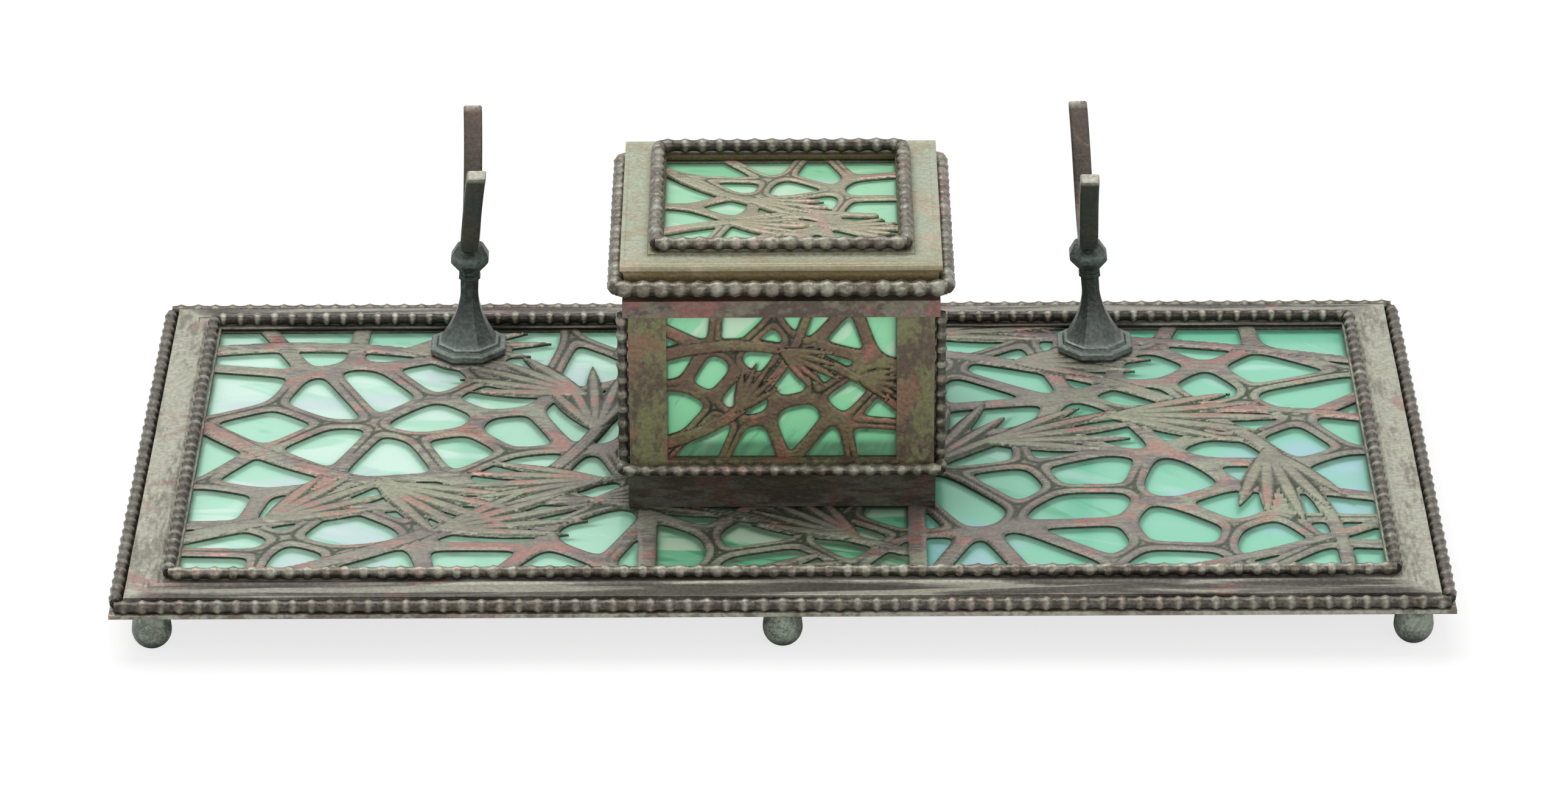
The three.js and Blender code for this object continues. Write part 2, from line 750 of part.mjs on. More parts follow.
function penRestFork(restBend) {
  const outline = shapeOf(forkOutline());
  const bar = new THREE.ExtrudeGeometry(outline, { depth: forkBarWidth, bevelEnabled: false })
    .translate(0, 0, -forkBarWidth / 2).rotateX(Math.PI / 2).rotateZ(Math.PI / 2);
  const root = block(forkBarWidth, forkBarWidth, forkBarThickness / 2, 0, 0, 0);
  const tang = post(forkTangRadius, -forkTangLength, forkBarThickness / 2, restSides);
  const fork = bendFork(geometryOf(solid(bar).add(solid(root)).add(solid(tang))), restBend);
  return leanPost(fork, restBend, forkSeat());
}

// Plinth: an open dish whose floor takes the fixing screws
function boxPlinth() {
  const inside = plinthWidth - 2 * plinthWall;
  let body = solid(block(plinthWidth, plinthWidth, plinthHeight, 0, 0, 0))
    .subtract(solid(block(inside, inside, plinthHeight + cutOverrun, 0, 0, plinthFloor)));
  screwPlaces.forEach(([x, y]) => {
    body = body.subtract(solid(post(screwRadius + fitGap, -cutOverrun, plinthFloor + cutOverrun, 8,
      x, y - boxBack)));
  });
  return geometryOf(body);
}

// Square tube with a window in each side
function boxBody() {
  const windowHeight = windowTop - windowBottom;
  const through = bodyWidth + cutOverrun;
  return geometryOf(solid(ring(bodyWidth, bodyWidth, bodyInside, bodyInside, bodyBottom, bodyHeight))
    .subtract(solid(block(windowWidth, through, windowHeight, 0, 0, windowBottom)))
    .subtract(solid(block(through, windowWidth, windowHeight, 0, 0, windowBottom))));
}

// Angle rail over the top of the body, with the lip that the lid closes on
function boxTopRail() {
  const legInside = bodyWidth + 2 * fitGap;
  return geometryOf(solid(ring(railWidth, railWidth, legInside, legInside, railTop - railHeight, railHeight))
    .add(solid(ring(railWidth, railWidth, railOpening, railOpening, bodyTop, flangeThickness)))
    .add(solid(ring(lipWidth, lipWidth, railOpening, railOpening, bodyTop, flangeThickness + lipRise))));
}

// Pierced panel and its pane stand upright: width along X, height along Z, outer face towards -Y
function boxPanel(phase) {
  const height = collarBottom - panelBottom;
  const panel = piercedSheet({
    width: panelWidth, depth: height, openWidth: windowWidth, openDepth: height - 2 * panelSillLap,
    pitches: [boxPebbleWidth, boxPebbleHeight], bar: boxBar, phase, stems: boxStemShares, stemWidth: boxStem,
    sprays: boxSprayShares, sprayLength: boxSprayLength, pads: [],
  });
  return geometryOf(panel).rotateX(Math.PI / 2).translate(0, sheetThickness, height / 2);
}

function boxPane() {
  return block(panelWidth, glassThickness, collarBottom - panelBottom, 0, glassThickness / 2, 0);
}

// Plate that carries the liner by its rim
function collarPlate() {
  const width = bodyInside - 2 * fitGap;
  return sheet(rectangle(width, width), [disc(linerRadius + 2 * fitGap, 0, 0, THREE.Path)],
    collarBottom, collarThickness, 12);
}

// Glass well: flat floor inside and out, bevelled below, with a rim that hangs on the collar plate
function inkLiner() {
  const top = bodyTop + linerRimHeight;
  const bottom = top - linerDepth;
  const inside = linerRadius - linerWall;
  return turned([
    [0, bottom], [linerRadius - linerBevel, bottom], [linerRadius, bottom + linerBevel],
    [linerRadius, bodyTop], [linerRimRadius, bodyTop], [linerRimRadius, top], [inside, top],
    [inside, bottom + linerWall + linerBevel], [inside - linerBevel, bottom + linerWall],
    [0, bottom + linerWall],
  ], 20);
}

// Lid frame: bead flange, cove, overhanging edge and a low seat for the inner beads
function lidFrame() {
  const coveBottom = lidBottom + lidFlangeHeight;
  const edgeBottom = coveBottom + lidCoveHeight;
  const seatOuter = lidOpening + 2 * lidSeatWidth;
  const outside = solid(block(lidFlangeWidth, lidFlangeWidth, lidFlangeHeight, 0, 0, lidBottom))
    .add(solid(block(lidCoveWidth, lidCoveWidth, lidCoveHeight, 0, 0, coveBottom)))
    .add(solid(block(lidWidth, lidWidth, lidEdge, 0, 0, edgeBottom)))
    .add(solid(block(seatOuter, seatOuter, lidEdge + lidSeatHeight, 0, 0, edgeBottom)));
  const recessHeight = lidSheetTop - lidBottom;
  return geometryOf(outside
    .subtract(solid(block(lidRecess, lidRecess, recessHeight + cutOverrun, 0, 0, lidBottom - cutOverrun)))
    .subtract(solid(block(lidOpening, lidOpening, lidTop, 0, 0, lidBottom))));
}

function lidFiligree() {
  const width = lidOpening + 2 * lidSheetCatch;
  return geometryOf(piercedSheet({
    width, depth: width, openWidth: lidOpening, openDepth: lidOpening,
    pitches: [lidPebbleWidth, lidPebbleWidth], bar: boxBar, phase: lidPhase, stems: lidStemShares,
    stemWidth: boxStem, sprays: lidSprayShares, sprayLength: lidSprayLength, pads: [],
  }));
}

// Round bar along X between two places
function barAlongX(radius, from, to, sides) {
  return new THREE.CylinderGeometry(radius, radius, to - from, sides).rotateZ(Math.PI / 2)
    .translate((from + to) / 2, 0, 0);
}

// Knuckles of one hinge leaf, with tabs to the leaf; the first knuckle is number 0
function hingeLeaf(first, leafBlock, tabBlock) {
  const pitch = hingeLength / hingeKnuckles;
  let body = solid(leafBlock);
  for (let number = first; number < hingeKnuckles; number += 2) {
    const from = -hingeLength / 2 + number * pitch + fitGap / 2;
    const to = from + pitch - fitGap;
    body = body.add(solid(barAlongX(knuckleRadius, from, to, knuckleSides)))
      .add(solid(tabBlock(pitch - fitGap, (from + to) / 2)));
  }
  return geometryOf(body.subtract(solid(barAlongX(pinRadius + fitGap, -hingeLength / 2 - cutOverrun,
    hingeLength / 2 + cutOverrun, knuckleSides))));
}

// Leaf on the back of the top rail, with tabs up to its knuckles
function hingeBodyLeaf() {
  const middle = (railWidth + leafThickness) / 2 - hingeBack;
  const top = -knuckleRadius - fitGap;
  const leaf = block(hingeLength, leafThickness, leafDepth, 0, middle, top - leafDepth);
  return hingeLeaf(0, leaf, (width, x) => block(width, leafThickness, -top, x, middle, top));
}

// Leaf under the lid's flange
function hingeLidLeaf() {
  const top = hingeDrop;
  const back = -knuckleRadius - leafThickness;
  const front = back - leafDepth;
  const leaf = block(hingeLength, back - front, leafThickness, 0, (back + front) / 2, top - leafThickness);
  return hingeLeaf(1, leaf, (width, x) => block(width, -back, tabThickness, x, back / 2,
    top - leafThickness / 2 - tabThickness));
}

function hingePin() {
  return barAlongX(pinRadius, -hingeLength / 2, hingeLength / 2, 8);
}

function boxScrew() {
  return turned([[0, -screwHeadHeight], [screwHeadRadius, -screwHeadHeight], [screwHeadRadius, 0],
    [screwRadius, 0], [screwRadius, screwLength], [0, screwLength]], 8);
}

// Mesh with its name, finish and place in a group
function place(group, name, geometry, material, x = 0, y = 0, z = 0, turn = 0) {
  const mesh = new THREE.Mesh(geometry, material);
  mesh.name = name;
  mesh.position.set(x, y, z);
  mesh.rotation.z = turn;
  group.add(mesh);
}

const sideNames = ['front', 'right', 'back', 'left'];

function tray() {
  const group = new THREE.Group();
  place(group, 'tray_frame', trayFrame(), verdigrisBronze);
  place(group, 'tray_filigree', trayFiligree(), barBronze, 0, 0, sheetBottom);
  place(group, 'tray_glass_left', traySidePane(-1), paleGlass, 0, 0, glassBottom);
  place(group, 'tray_glass_right', traySidePane(1), greenGlass, 0, 0, glassBottom);
  place(group, 'tray_glass_front', trayMiddlePane(-1), paleGlass, 0, 0, glassBottom);
  place(group, 'tray_glass_back', trayMiddlePane(1), paleGlass, 0, 0, glassBottom);
  place(group, 'tray_bottom_plate', trayBottomPlate(), darkBronze);
  const footNames = ['front_left', 'back_left', 'front_middle', 'back_middle', 'front_right', 'back_right'];
  footPlaces().forEach(([x, y], number) => {
    place(group, `foot_${footNames[number]}`, ballFoot(), verdigrisBronze, x, y);
  });
  const up = new THREE.Vector3(0, 0, 1);
  sideNames.forEach((side, number) => {
    const turn = number * Math.PI / 2;
    const long = number % 2 === 0;
    const half = (long ? trayLength : trayDepth) / 2;
    const away = (long ? trayDepth : trayLength) / 2;
    const out = new THREE.Vector3(0, -1, 0);
    const outerHeight = trayTop - outerBeadDrop;
    place(group, `outer_beads_${side}`, beadRun(new THREE.Vector3(-half, -away, outerHeight),
      new THREE.Vector3(half, -away, outerHeight), beadPitch, wallSection(outerBead, outerBead), out, up),
    verdigrisBronze, 0, 0, 0, turn);
    const seat = trayBorder - innerBead / 2;
    const end = half - (long ? trayBorder - innerBead : trayBorder);
    place(group, `inner_beads_${side}`, beadRun(new THREE.Vector3(-end, seat - away, trayTop),
      new THREE.Vector3(end, seat - away, trayTop), beadPitch, standingSection(innerBead), out, up),
    verdigrisBronze, 0, 0, 0, turn);
  });
  return group;
}

function penRest(side, name) {
  const group = new THREE.Group();
  const restBend = side < 0 ? restBendLeft : restBendRight;
  place(group, `pen_rest_stand_${name}`, penRestStand(restBend), restBronze);
  place(group, `pen_rest_fork_${name}`, penRestFork(restBend), restBronze, 0, 0, forkSeat());
  place(group, `pen_rest_nut_${name}`, penRestNut(), steel, 0, 0, -sheetThickness);
  group.position.set(side * penRestSpacing / 2, penRestBack, sheetTop);
  return group;
}

function inkBox() {
  const group = new THREE.Group();
  place(group, 'box_plinth', boxPlinth(), darkBronze);
  place(group, 'box_body', boxBody(), darkBronze);
  place(group, 'box_top_rail', boxTopRail(), darkBronze);
  sideNames.forEach((side, number) => {
    const turned90 = new THREE.Group();
    turned90.rotation.z = number * Math.PI / 2;
    const face = -bodyInside / 2;
    place(turned90, `box_filigree_${side}`, boxPanel(1 + number), barBronze, 0, face, panelBottom);
    place(turned90, `box_glass_${side}`, boxPane(), greenGlass, 0, face + sheetThickness, panelBottom);
    group.add(turned90);
  });
  place(group, 'box_base_beads', beadLoop(bodyWidth, bodyWidth, bodyBottom + baseBead / 2, smallBeadPitch,
    ridgeSection(baseBead, baseBeadReach + (plinthWidth - bodyWidth) / 2)), verdigrisBronze);
  const up = new THREE.Vector3(0, 0, 1);
  [-1, 1].forEach((sideX) => [-1, 1].forEach((sideY) => {
    const x = sideX * bodyWidth / 2;
    const y = sideY * (bodyWidth / 2 - columnBead / 2);
    const from = new THREE.Vector3(x, y, bodyBottom + baseBead);
    const to = new THREE.Vector3(x, y, railTop - railHeight);
    const name = `corner_beads_${sideY < 0 ? 'front' : 'back'}_${sideX < 0 ? 'left' : 'right'}`;
    const out = new THREE.Vector3(sideX, 0, 0);
    const across = new THREE.Vector3().crossVectors(up, out).negate();
    place(group, name, beadRun(from, to, smallBeadPitch, ridgeSection(columnBead, columnBead), out, across),
      verdigrisBronze);
  }));
  place(group, 'collar_plate', collarPlate(), darkBronze);
  place(group, 'ink_liner', inkLiner(), clearGlass);
  screwPlaces.forEach(([x, y], number) => {
    place(group, `box_screw_${number ? 'right' : 'left'}`, boxScrew(), steel, x, y - boxBack, -sheetThickness);
  });
  place(group, 'hinge_body_leaf', hingeBodyLeaf(), darkBronze, 0, hingeBack, hingeHeight);
  place(group, 'hinge_pin', hingePin(), steel, 0, hingeBack, hingeHeight);
  group.position.set(0, boxBack, sheetTop);
  return group;
}

function lid() {
  const group = new THREE.Group();
  place(group, 'lid_frame', lidFrame(), verdigrisBronze);
  place(group, 'lid_filigree', lidFiligree(), barBronze, 0, 0, lidSheetTop - sheetThickness);
  const paneWidth = lidOpening + 2 * lidSheetCatch;
  const paneBottom = lidSheetTop - sheetThickness - glassThickness;
  place(group, 'lid_glass', block(paneWidth, paneWidth, glassThickness, 0, 0, paneBottom), greenGlass);
  const liningWidth = lidRecess - 2 * fitGap;
  place(group, 'lid_lining', block(liningWidth, liningWidth, plateThickness, 0, 0, paneBottom - plateThickness),
    darkBronze);
  place(group, 'lid_flange_beads', beadLoop(lidFlangeWidth, lidFlangeWidth, lidBottom + flangeBead / 2,
    beadPitch, wallSection(flangeBead, flangeBeadReach)), verdigrisBronze);
  const loop = lidOpening + lidSeatWidth;
  place(group, 'lid_inner_beads', beadLoop(loop, loop, lidTop + lidSeatHeight, beadPitch,
    standingSection(lidBead)), verdigrisBronze);
  place(group, 'hinge_lid_leaf', hingeLidLeaf(), darkBronze, 0, hingeBack, hingeHeight);
  group.position.set(0, boxBack, sheetTop);
  return group;
}

const inkstand = new THREE.Group();
inkstand.add(tray(), penRest(-1, 'left'), penRest(1, 'right'), inkBox(), lid());

export default inkstand;
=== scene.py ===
"""Desk inkstand in patinated bronze and streaked glass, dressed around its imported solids.

Lengths are written in millimetres and turned into metres where a mesh is made. The frame is the
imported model's: +X along the tray to the right, +Y to the back, +Z up, and the desk at z = 0.
"""

from __future__ import annotations

import json
import logging
import math
from dataclasses import dataclass, field
from enum import Enum

import bmesh
import bpy
import numpy as np
from mathutils import Matrix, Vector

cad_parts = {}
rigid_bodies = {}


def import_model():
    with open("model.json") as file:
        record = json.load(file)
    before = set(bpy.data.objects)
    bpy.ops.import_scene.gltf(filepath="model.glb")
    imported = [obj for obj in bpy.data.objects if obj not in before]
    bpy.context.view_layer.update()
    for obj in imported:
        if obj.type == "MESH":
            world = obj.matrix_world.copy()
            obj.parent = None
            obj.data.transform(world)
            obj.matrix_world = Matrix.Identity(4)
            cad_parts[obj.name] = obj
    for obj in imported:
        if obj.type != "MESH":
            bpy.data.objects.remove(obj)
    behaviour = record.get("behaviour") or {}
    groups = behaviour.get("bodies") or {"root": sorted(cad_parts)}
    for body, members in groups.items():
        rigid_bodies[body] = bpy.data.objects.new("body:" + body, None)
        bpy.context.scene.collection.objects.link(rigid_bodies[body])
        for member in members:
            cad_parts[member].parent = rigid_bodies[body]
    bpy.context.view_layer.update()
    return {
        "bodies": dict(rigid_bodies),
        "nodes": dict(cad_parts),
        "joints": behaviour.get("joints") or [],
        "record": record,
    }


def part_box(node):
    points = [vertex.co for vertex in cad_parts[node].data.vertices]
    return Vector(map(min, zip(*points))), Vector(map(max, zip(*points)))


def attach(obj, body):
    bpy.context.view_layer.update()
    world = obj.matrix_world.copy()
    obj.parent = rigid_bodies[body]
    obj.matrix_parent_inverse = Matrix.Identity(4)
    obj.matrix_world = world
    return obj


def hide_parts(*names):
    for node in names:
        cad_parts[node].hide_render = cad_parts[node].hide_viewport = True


LOG = logging.getLogger("inkstand")
MM = 0.001
BEAD_WIRE_SHARE = 0.76  # A bead string's wire, as a share of its beads.
BEAD_SIDES = 9
FAR_AWAY = 1e3  # Farther in millimetres than any place on the object.
Colour = str  # Six hexadecimal digits.


class Body(Enum):
    """The bodies that pieces ride on."""

    STAND = "stand"
    LID = "lid"
    LINER = "liner"


class Slot(Enum):
    """The record's material slots."""

    VERDIGRIS = "verdigris_bronze"
    DARK = "dark_bronze"
    REST = "rest_bronze"
    BARS = "bar_bronze"
    PALE_GLASS = "pale_glass"
    GREEN_GLASS = "green_glass"
    CLEAR_GLASS = "clear_glass"
    STEEL = "steel"


def linear(code: Colour) -> tuple[float, ...]:
    """Turn a colour code into the linear numbers that shaders take.

    Args:
        code: Red, green and blue as hexadecimal digits.

    Returns:
        Linear red, green and blue.
    """
    parts = [int(code[place : place + 2], 16) / 255 for place in (0, 2, 4)]
    return tuple(part / 12.92 if part <= 0.04045 else ((part + 0.055) / 1.055) ** 2.4 for part in parts)


class Wire:
    """A value on its way through a material; arithmetic on it adds Math nodes."""

    def __init__(self, bench: Bench, socket: bpy.types.NodeSocket) -> None:
        """Wrap an output socket of a node on the bench."""
        self.bench = bench
        self.socket = socket

    def _math(self, operation: str, *values: Wire | float) -> Wire:
        """Add a Math node that works on the values."""
        return self.bench.node("ShaderNodeMath", {"operation": operation}, dict(enumerate(values)))

    def __add__(self, other: Wire | float) -> Wire:
        """Sum."""
        return self._math("ADD", self, other)

    def __sub__(self, other: Wire | float) -> Wire:
        """Difference."""
        return self._math("SUBTRACT", self, other)

    def __rsub__(self, other: float) -> Wire:
        """Difference from a number."""
        return self._math("SUBTRACT", other, self)

    def __mul__(self, other: Wire | float) -> Wire:
        """Product."""
        return self._math("MULTIPLY", self, other)

    __radd__ = __add__
    __rmul__ = __mul__

    def between(self, low: float, high: float) -> Wire:
        """Rise smoothly from 0 at low to 1 at high."""
        inputs = {"Value": self, "From Min": low, "From Max": high}
        return self.bench.node("ShaderNodeMapRange", {"interpolation_type": "SMOOTHSTEP"}, inputs)

    def clipped(self) -> Wire:
        """Keep the value from 0 to 1."""
        return self.bench.node("ShaderNodeClamp", {}, {"Value": self})


class Bench:
    """A node tree under construction."""

    def __init__(self, tree: bpy.types.NodeTree) -> None:
        """Work on the tree."""
        self.tree = tree

    def node(self, kind: str, settings: dict, inputs: dict, output: str | int = 0) -> Wire:
        """Add a node, set its options, then fill its sockets.

        Args:
            kind: The node's type.
            settings: Options by name, set before the sockets.
            inputs: Values or wires by socket name or number.
            output: The socket that the wire leaves from.

        Returns:
            The wire from that socket.
        """
        made = self.tree.nodes.new(kind)
        for name, value in settings.items():
            setattr(made, name, value)
        for name, value in inputs.items():
            self.feed(made.inputs[name], value)
        return Wire(self, made.outputs[output])

    def feed(self, socket: bpy.types.NodeSocket, value: Wire | Colour | float | tuple) -> None:
        """Link a wire into a socket, or set the socket's own colour, number or numbers."""
        if isinstance(value, Wire):
            self.tree.links.new(value.socket, socket)
        elif isinstance(value, str):
            socket.default_value = (*linear(value), 1.0)
        else:
            socket.default_value = value

    def mix(self, share: Wire | float, start: Wire | Colour, end: Wire | Colour) -> Wire:
        """Blend two colours."""
        return self.node("ShaderNodeMix", {"data_type": "RGBA"}, {0: share, 6: start, 7: end}, 2)


class MaterialBench(Bench):
    """One material under construction."""

    def __init__(self, name: str) -> None:
        """Start a material with a Principled shader wired to its output."""
        self.material = bpy.data.materials.new(name)
        self.material.use_nodes = True
        super().__init__(self.material.node_tree)
        self.shader = self.tree.nodes["Principled BSDF"]
        self.place = self.node("ShaderNodeTexCoord", {}, {}, "Object")

    def set(self, **values: Wire | Colour | float) -> None:
        """Fill sockets of the Principled shader, with spaces in their names written as underscores."""
        for name, value in values.items():
            self.feed(self.shader.inputs[name.replace("_", " ")], value)

    def noise(
        self, size_mm: float, detail: float = 4.0, distortion: float = 0.0, place: Wire | None = None
    ) -> Wire:
        """Soft noise in patches, spread out to run from about 0 to 1.

        Args:
            size_mm: About how far across a patch is.
            detail: How many finer noises lie on it.
            distortion: How much its patches are stirred.
            place: The coordinates that it is made on, the object's own if not given.

        Returns:
            The noise.
        """
        inputs = {"Vector": place or self.place, "Scale": 1 / (size_mm * MM), "Detail": detail}
        raw = self.node("ShaderNodeTexNoise", {}, {**inputs, "Distortion": distortion})
        return raw.between(0.3, 0.7)

    def stretched(self, turn: tuple[float, float, float], shares: tuple[float, float, float]) -> Wire:
        """Turn the object's own coordinates, then stretch them, so that noise on them is drawn out."""
        turned = self.node("ShaderNodeMapping", {}, {"Vector": self.place, "Rotation": turn})
        return self.node("ShaderNodeMapping", {}, {"Vector": turned, "Scale": shares})

    def mark(self, name: str) -> Wire:
        """A number that the mesh carries at each point."""
        return self.node("ShaderNodeAttribute", {"attribute_name": name}, {}, "Fac")

    def bump(self, height: Wire, depth_mm: float, strength: float) -> None:
        """Raise the surface by a height from 0 to 1."""
        inputs = {"Height": height, "Distance": depth_mm * MM, "Strength": strength}
        self.set(Normal=self.node("ShaderNodeBump", {}, inputs, "Normal"))


@dataclass(frozen=True)
class Patina:
    """Bronze finish: a brown ground under a cloudy bloom, with rubbed metal on high places.

    A mesh may carry three marks from 0 to 1, each 0 where it is missing: low, painted shade for how
    deep in a crevice or how far in shade a point lies; cast, its share of a local colour; and tone,
    its share of the plain ground.
    """

    name: str
    ground: Colour
    bloom: Colour
    rub: Colour
    shade: Colour
    cast: Colour = "5a5048"
    patch_mm: float = 9.0
    bloom_cover: float = 0.5
    rub_cover: float = 0.3
    roughness: float = 0.5
    metallic: float = 0.45
    pit_mm: float = 0.9
    pit_depth_mm: float = 0.12
    grain: tuple[float, float, float] = (1.0, 1.6, 1.3)
    streaks: float = 0.0

    def material(self) -> bpy.types.Material:
        """Make the material.

        Patches of bloom lie on the ground where one noise passes a level set by bloom_cover, and
        rubbed metal shows where another does, away from crevices. Painted shade fills crevices and other
        shaded places after the mark low, and dark specks fill pits.

        Returns:
            The finished material.
        """
        bench = MaterialBench(self.name)
        drawn = bench.stretched((0, 0, 0), self.grain)
        broad = bench.noise(self.patch_mm, detail=5, distortion=0.6, place=drawn)
        fine = bench.noise(self.patch_mm / 7, detail=4, distortion=0.3, place=drawn)
        specks = bench.noise(self.pit_mm, detail=3)
        low, cast = bench.mark("low"), bench.mark("cast")
        bloom = (broad * 0.55 + fine * 0.45).between(0.78 - self.bloom_cover, 1.02 - self.bloom_cover * 0.6)
        bloom = bloom * (1 - bench.mark("tone") * 0.6)
        drawn = bench.stretched((0.4, 0.9, 0.2), (1, 1.6, 1.3))
        rub = bench.noise(self.patch_mm * 1.7, detail=5, distortion=1.1, place=drawn)
        rub = rub.between(0.98 - self.rub_cover, 1.15 - self.rub_cover * 0.6) * (1 - low).between(0.2, 0.8)
        colour = bench.mix(bloom, self.ground, self.bloom)
        colour = bench.mix(cast * (fine * 0.35 + 0.65), colour, self.cast)
        colour = bench.mix(rub * 0.75, colour, self.rub)
        # Painted shade: the mark low pulls the colour towards shade.
        dark = (1 - specks) * 0.3 + low.between(0.36, 0.96) * 0.9
        if self.streaks:
            drawn = bench.stretched((0.2, 0, 0), (0.12, 1.6, 1.6))
            long = bench.noise(self.patch_mm * 0.4, detail=4, distortion=0.5, place=drawn)
            colour = bench.mix(cast * long.between(0.5, 0.75) * self.streaks, colour, self.bloom)
            dark = dark + cast * (1 - long).between(0.45, 0.75) * self.streaks
        dark = dark.clipped()
        colour = bench.mix(dark, colour, self.shade)
        rough = self.roughness + bloom * 0.16 - rub * 0.1
        bench.set(Base_Color=colour, Roughness=rough, Metallic=self.metallic, Specular_IOR_Level=0.45)
        bench.bump(specks * 0.6 + fine * 0.4, self.pit_depth_mm, strength=0.7)
        return bench.material


@dataclass(frozen=True)
class StreakedGlass:
    """Opal glass with colours drawn out into streaks in the melt.

    A pane's mesh carries the mark near, 1 against the metal and 0 away from it: painted shadow of the metal
    there, with dirt gathered along it.
    """

    name: str
    body: Colour
    white: Colour
    cool: Colour
    deep: Colour
    # Colour of the painted shadow and dirt next to the metal.
    shade_and_dirt: Colour
    turn: float = 0.3
    streak_mm: float = 14.0
    white_cover: float = 0.35
    cool_cover: float = 0.2
    deep_cover: float = 0.3
    upright: bool = False

    def material(self) -> bpy.types.Material:
        """Make the material.

        Noise on stretched and turned coordinates gives the streaks. White clouds lie over the body
        colour, a cool cast drifts across broad areas, and deep colour runs in narrower threads.

        Returns:
            The finished material.
        """
        bench = MaterialBench(self.name)
        tip = math.pi / 2 if self.upright else 0.0
        drawn = bench.stretched((tip, 0, self.turn), (0.42, 1.25, 1.0))
        streak = bench.noise(self.streak_mm, detail=5, distortion=1.2, place=drawn)
        drawn = bench.stretched((tip, 0.3, self.turn + 0.25), (0.3, 1.5, 1.1))
        thread = bench.noise(self.streak_mm * 0.6, detail=4, distortion=2.0, place=drawn)
        drawn = bench.stretched((tip, 0.2, self.turn - 0.3), (0.6, 1.1, 1.0))
        drift = bench.noise(self.streak_mm * 1.7, detail=3, distortion=0.8, place=drawn)
        white = streak.between(0.95 - self.white_cover, 1.25 - self.white_cover)
        cool = drift.between(0.95 - self.cool_cover, 1.25 - self.cool_cover)
        colour = bench.mix(white * 0.85, self.body, self.white)
        colour = bench.mix(cool * 0.8, colour, self.cool)
        deep = (thread * 0.55 + (1 - streak) * 0.45).between(0.95 - self.deep_cover, 1.2 - self.deep_cover)
        colour = bench.mix(deep * 0.8, colour, self.deep)
        # Painted shadow of the metal, then its dirt, where the mark near is high.
        near = bench.mark("near")
        colour = bench.mix(near.between(0.12, 0.9) * 0.6, colour, self.deep)
        near = near.between(0.5, 0.98)
        colour = bench.mix(near * (thread * 0.3 + 0.6), colour, self.shade_and_dirt)
        bench.set(Base_Color=colour, Roughness=0.2 + streak * 0.1 + near * 0.3, Specular_IOR_Level=0.4)
        bench.set(Coat_Weight=0.3, Coat_Roughness=0.1)
        bench.bump(streak * 0.5 + drift * 0.5, depth_mm=0.3, strength=0.3)
        return bench.material


@dataclass(frozen=True)
class ClearGlass:
    """Clear moulded glass with a faint green cast."""

    name: str
    tint: Colour

    def material(self) -> bpy.types.Material:
        """Make the material; slight waves in the mould show as an uneven surface."""
        bench = MaterialBench(self.name)
        wave = bench.noise(size_mm=6, detail=2)
        bench.set(Base_Color=self.tint, Roughness=0.04 + wave * 0.03, Transmission_Weight=1.0, IOR=1.5)
        bench.bump(wave, depth_mm=0.1, strength=0.3)
        return bench.material


TRAY_BRONZE = Patina(
    "tray_bronze",
    ground="7b776b",
    bloom="abac9c",
    rub="95726a",
    shade="35302a",
    cast="57524f",
    patch_mm=15,
    bloom_cover=0.68,
    rub_cover=0.2,
    grain=(1.9, 0.5, 1.3),
    streaks=0.66,
)
BEAD_BRONZE = Patina(
    "bead_bronze",
    ground="6c6458",
    bloom="9fa091",
    rub="967b72",
    shade="322c26",
    cast="5a5048",
    patch_mm=14,
    bloom_cover=0.55,
    rub_cover=0.3,
    roughness=0.3,
    metallic=0.55,
)
LID_BRONZE = Patina(
    "lid_bronze",
    ground="9c967f",
    bloom="a2ab99",
    rub="b0a28c",
    shade="5a4e33",
    cast="87744a",
    patch_mm=16,
    bloom_cover=0.6,
    rub_cover=0.3,
)
BOX_BRONZE = Patina(
    "box_bronze",
    ground="615347",
    bloom="80805c",
    rub="8a6755",
    shade="2c2622",
    cast="6a5a55",
    patch_mm=12,
    bloom_cover=0.56,
    rub_cover=0.34,
    grain=(1.2, 1.2, 0.8),
)
RAIL_BRONZE = Patina(
    "rail_bronze",
    ground="5b4f48",
    bloom="7f7a6c",
    rub="8f615b",
    shade="2c2622",
    patch_mm=11,
    bloom_cover=0.55,
    rub_cover=0.3,
)
PLINTH_BRONZE = Patina(
    "plinth_bronze",
    ground="3f372f",
    bloom="55534a",
    rub="5c423a",
    shade="241f1a",
    patch_mm=14,
    grain=(0.4, 0.4, 1.8),
)
# Its cast colour gives the pen rest posts a paler foot ring and painted highlights on rims and knop.
REST_BRONZE = Patina(
    "rest_bronze",
    ground="3b403d",
    bloom="545d58",
    rub="47453f",
    shade="191b19",
    cast="8a958c",
    patch_mm=8,
    bloom_cover=0.4,
    rub_cover=0.15,
    roughness=0.4,
)
# Its pale cast colour is a painted highlight on the fork's tips.
FORK_BRONZE = Patina(
    "fork_bronze",
    ground="5e4f46",
    bloom="474b48",
    rub="645448",
    shade="161413",
    cast="c2beb0",
    bloom_cover=0.72,
    rub_cover=0.2,
    roughness=0.42,
)
FOOT_BRONZE = Patina(
    "foot_bronze",
    ground="616a60",
    bloom="8f9a8b",
    rub="75705f",
    shade="1c1f1a",
    patch_mm=5,
    bloom_cover=0.56,
    rub_cover=0.2,
    roughness=0.38,
)
BAR_BRONZE = Patina(
    "bar_bronze",
    ground="7b706e",
    bloom="999e8a",
    rub="ac7a70",
    shade="38412f",
    cast="96967d",
    patch_mm=13,
    bloom_cover=0.58,
    rub_cover=0.41,
    roughness=0.42,
    grain=(0.5, 1.7, 1.3),
)
BOX_BAR_BRONZE = Patina(
    "box_bar_bronze",
    ground="6f5a4b",
    bloom="88855f",
    rub="a06c5e",
    shade="2b2f25",
    cast="76694c",
    patch_mm=11,
    bloom_cover=0.44,
    rub_cover=0.42,
    roughness=0.42,
)
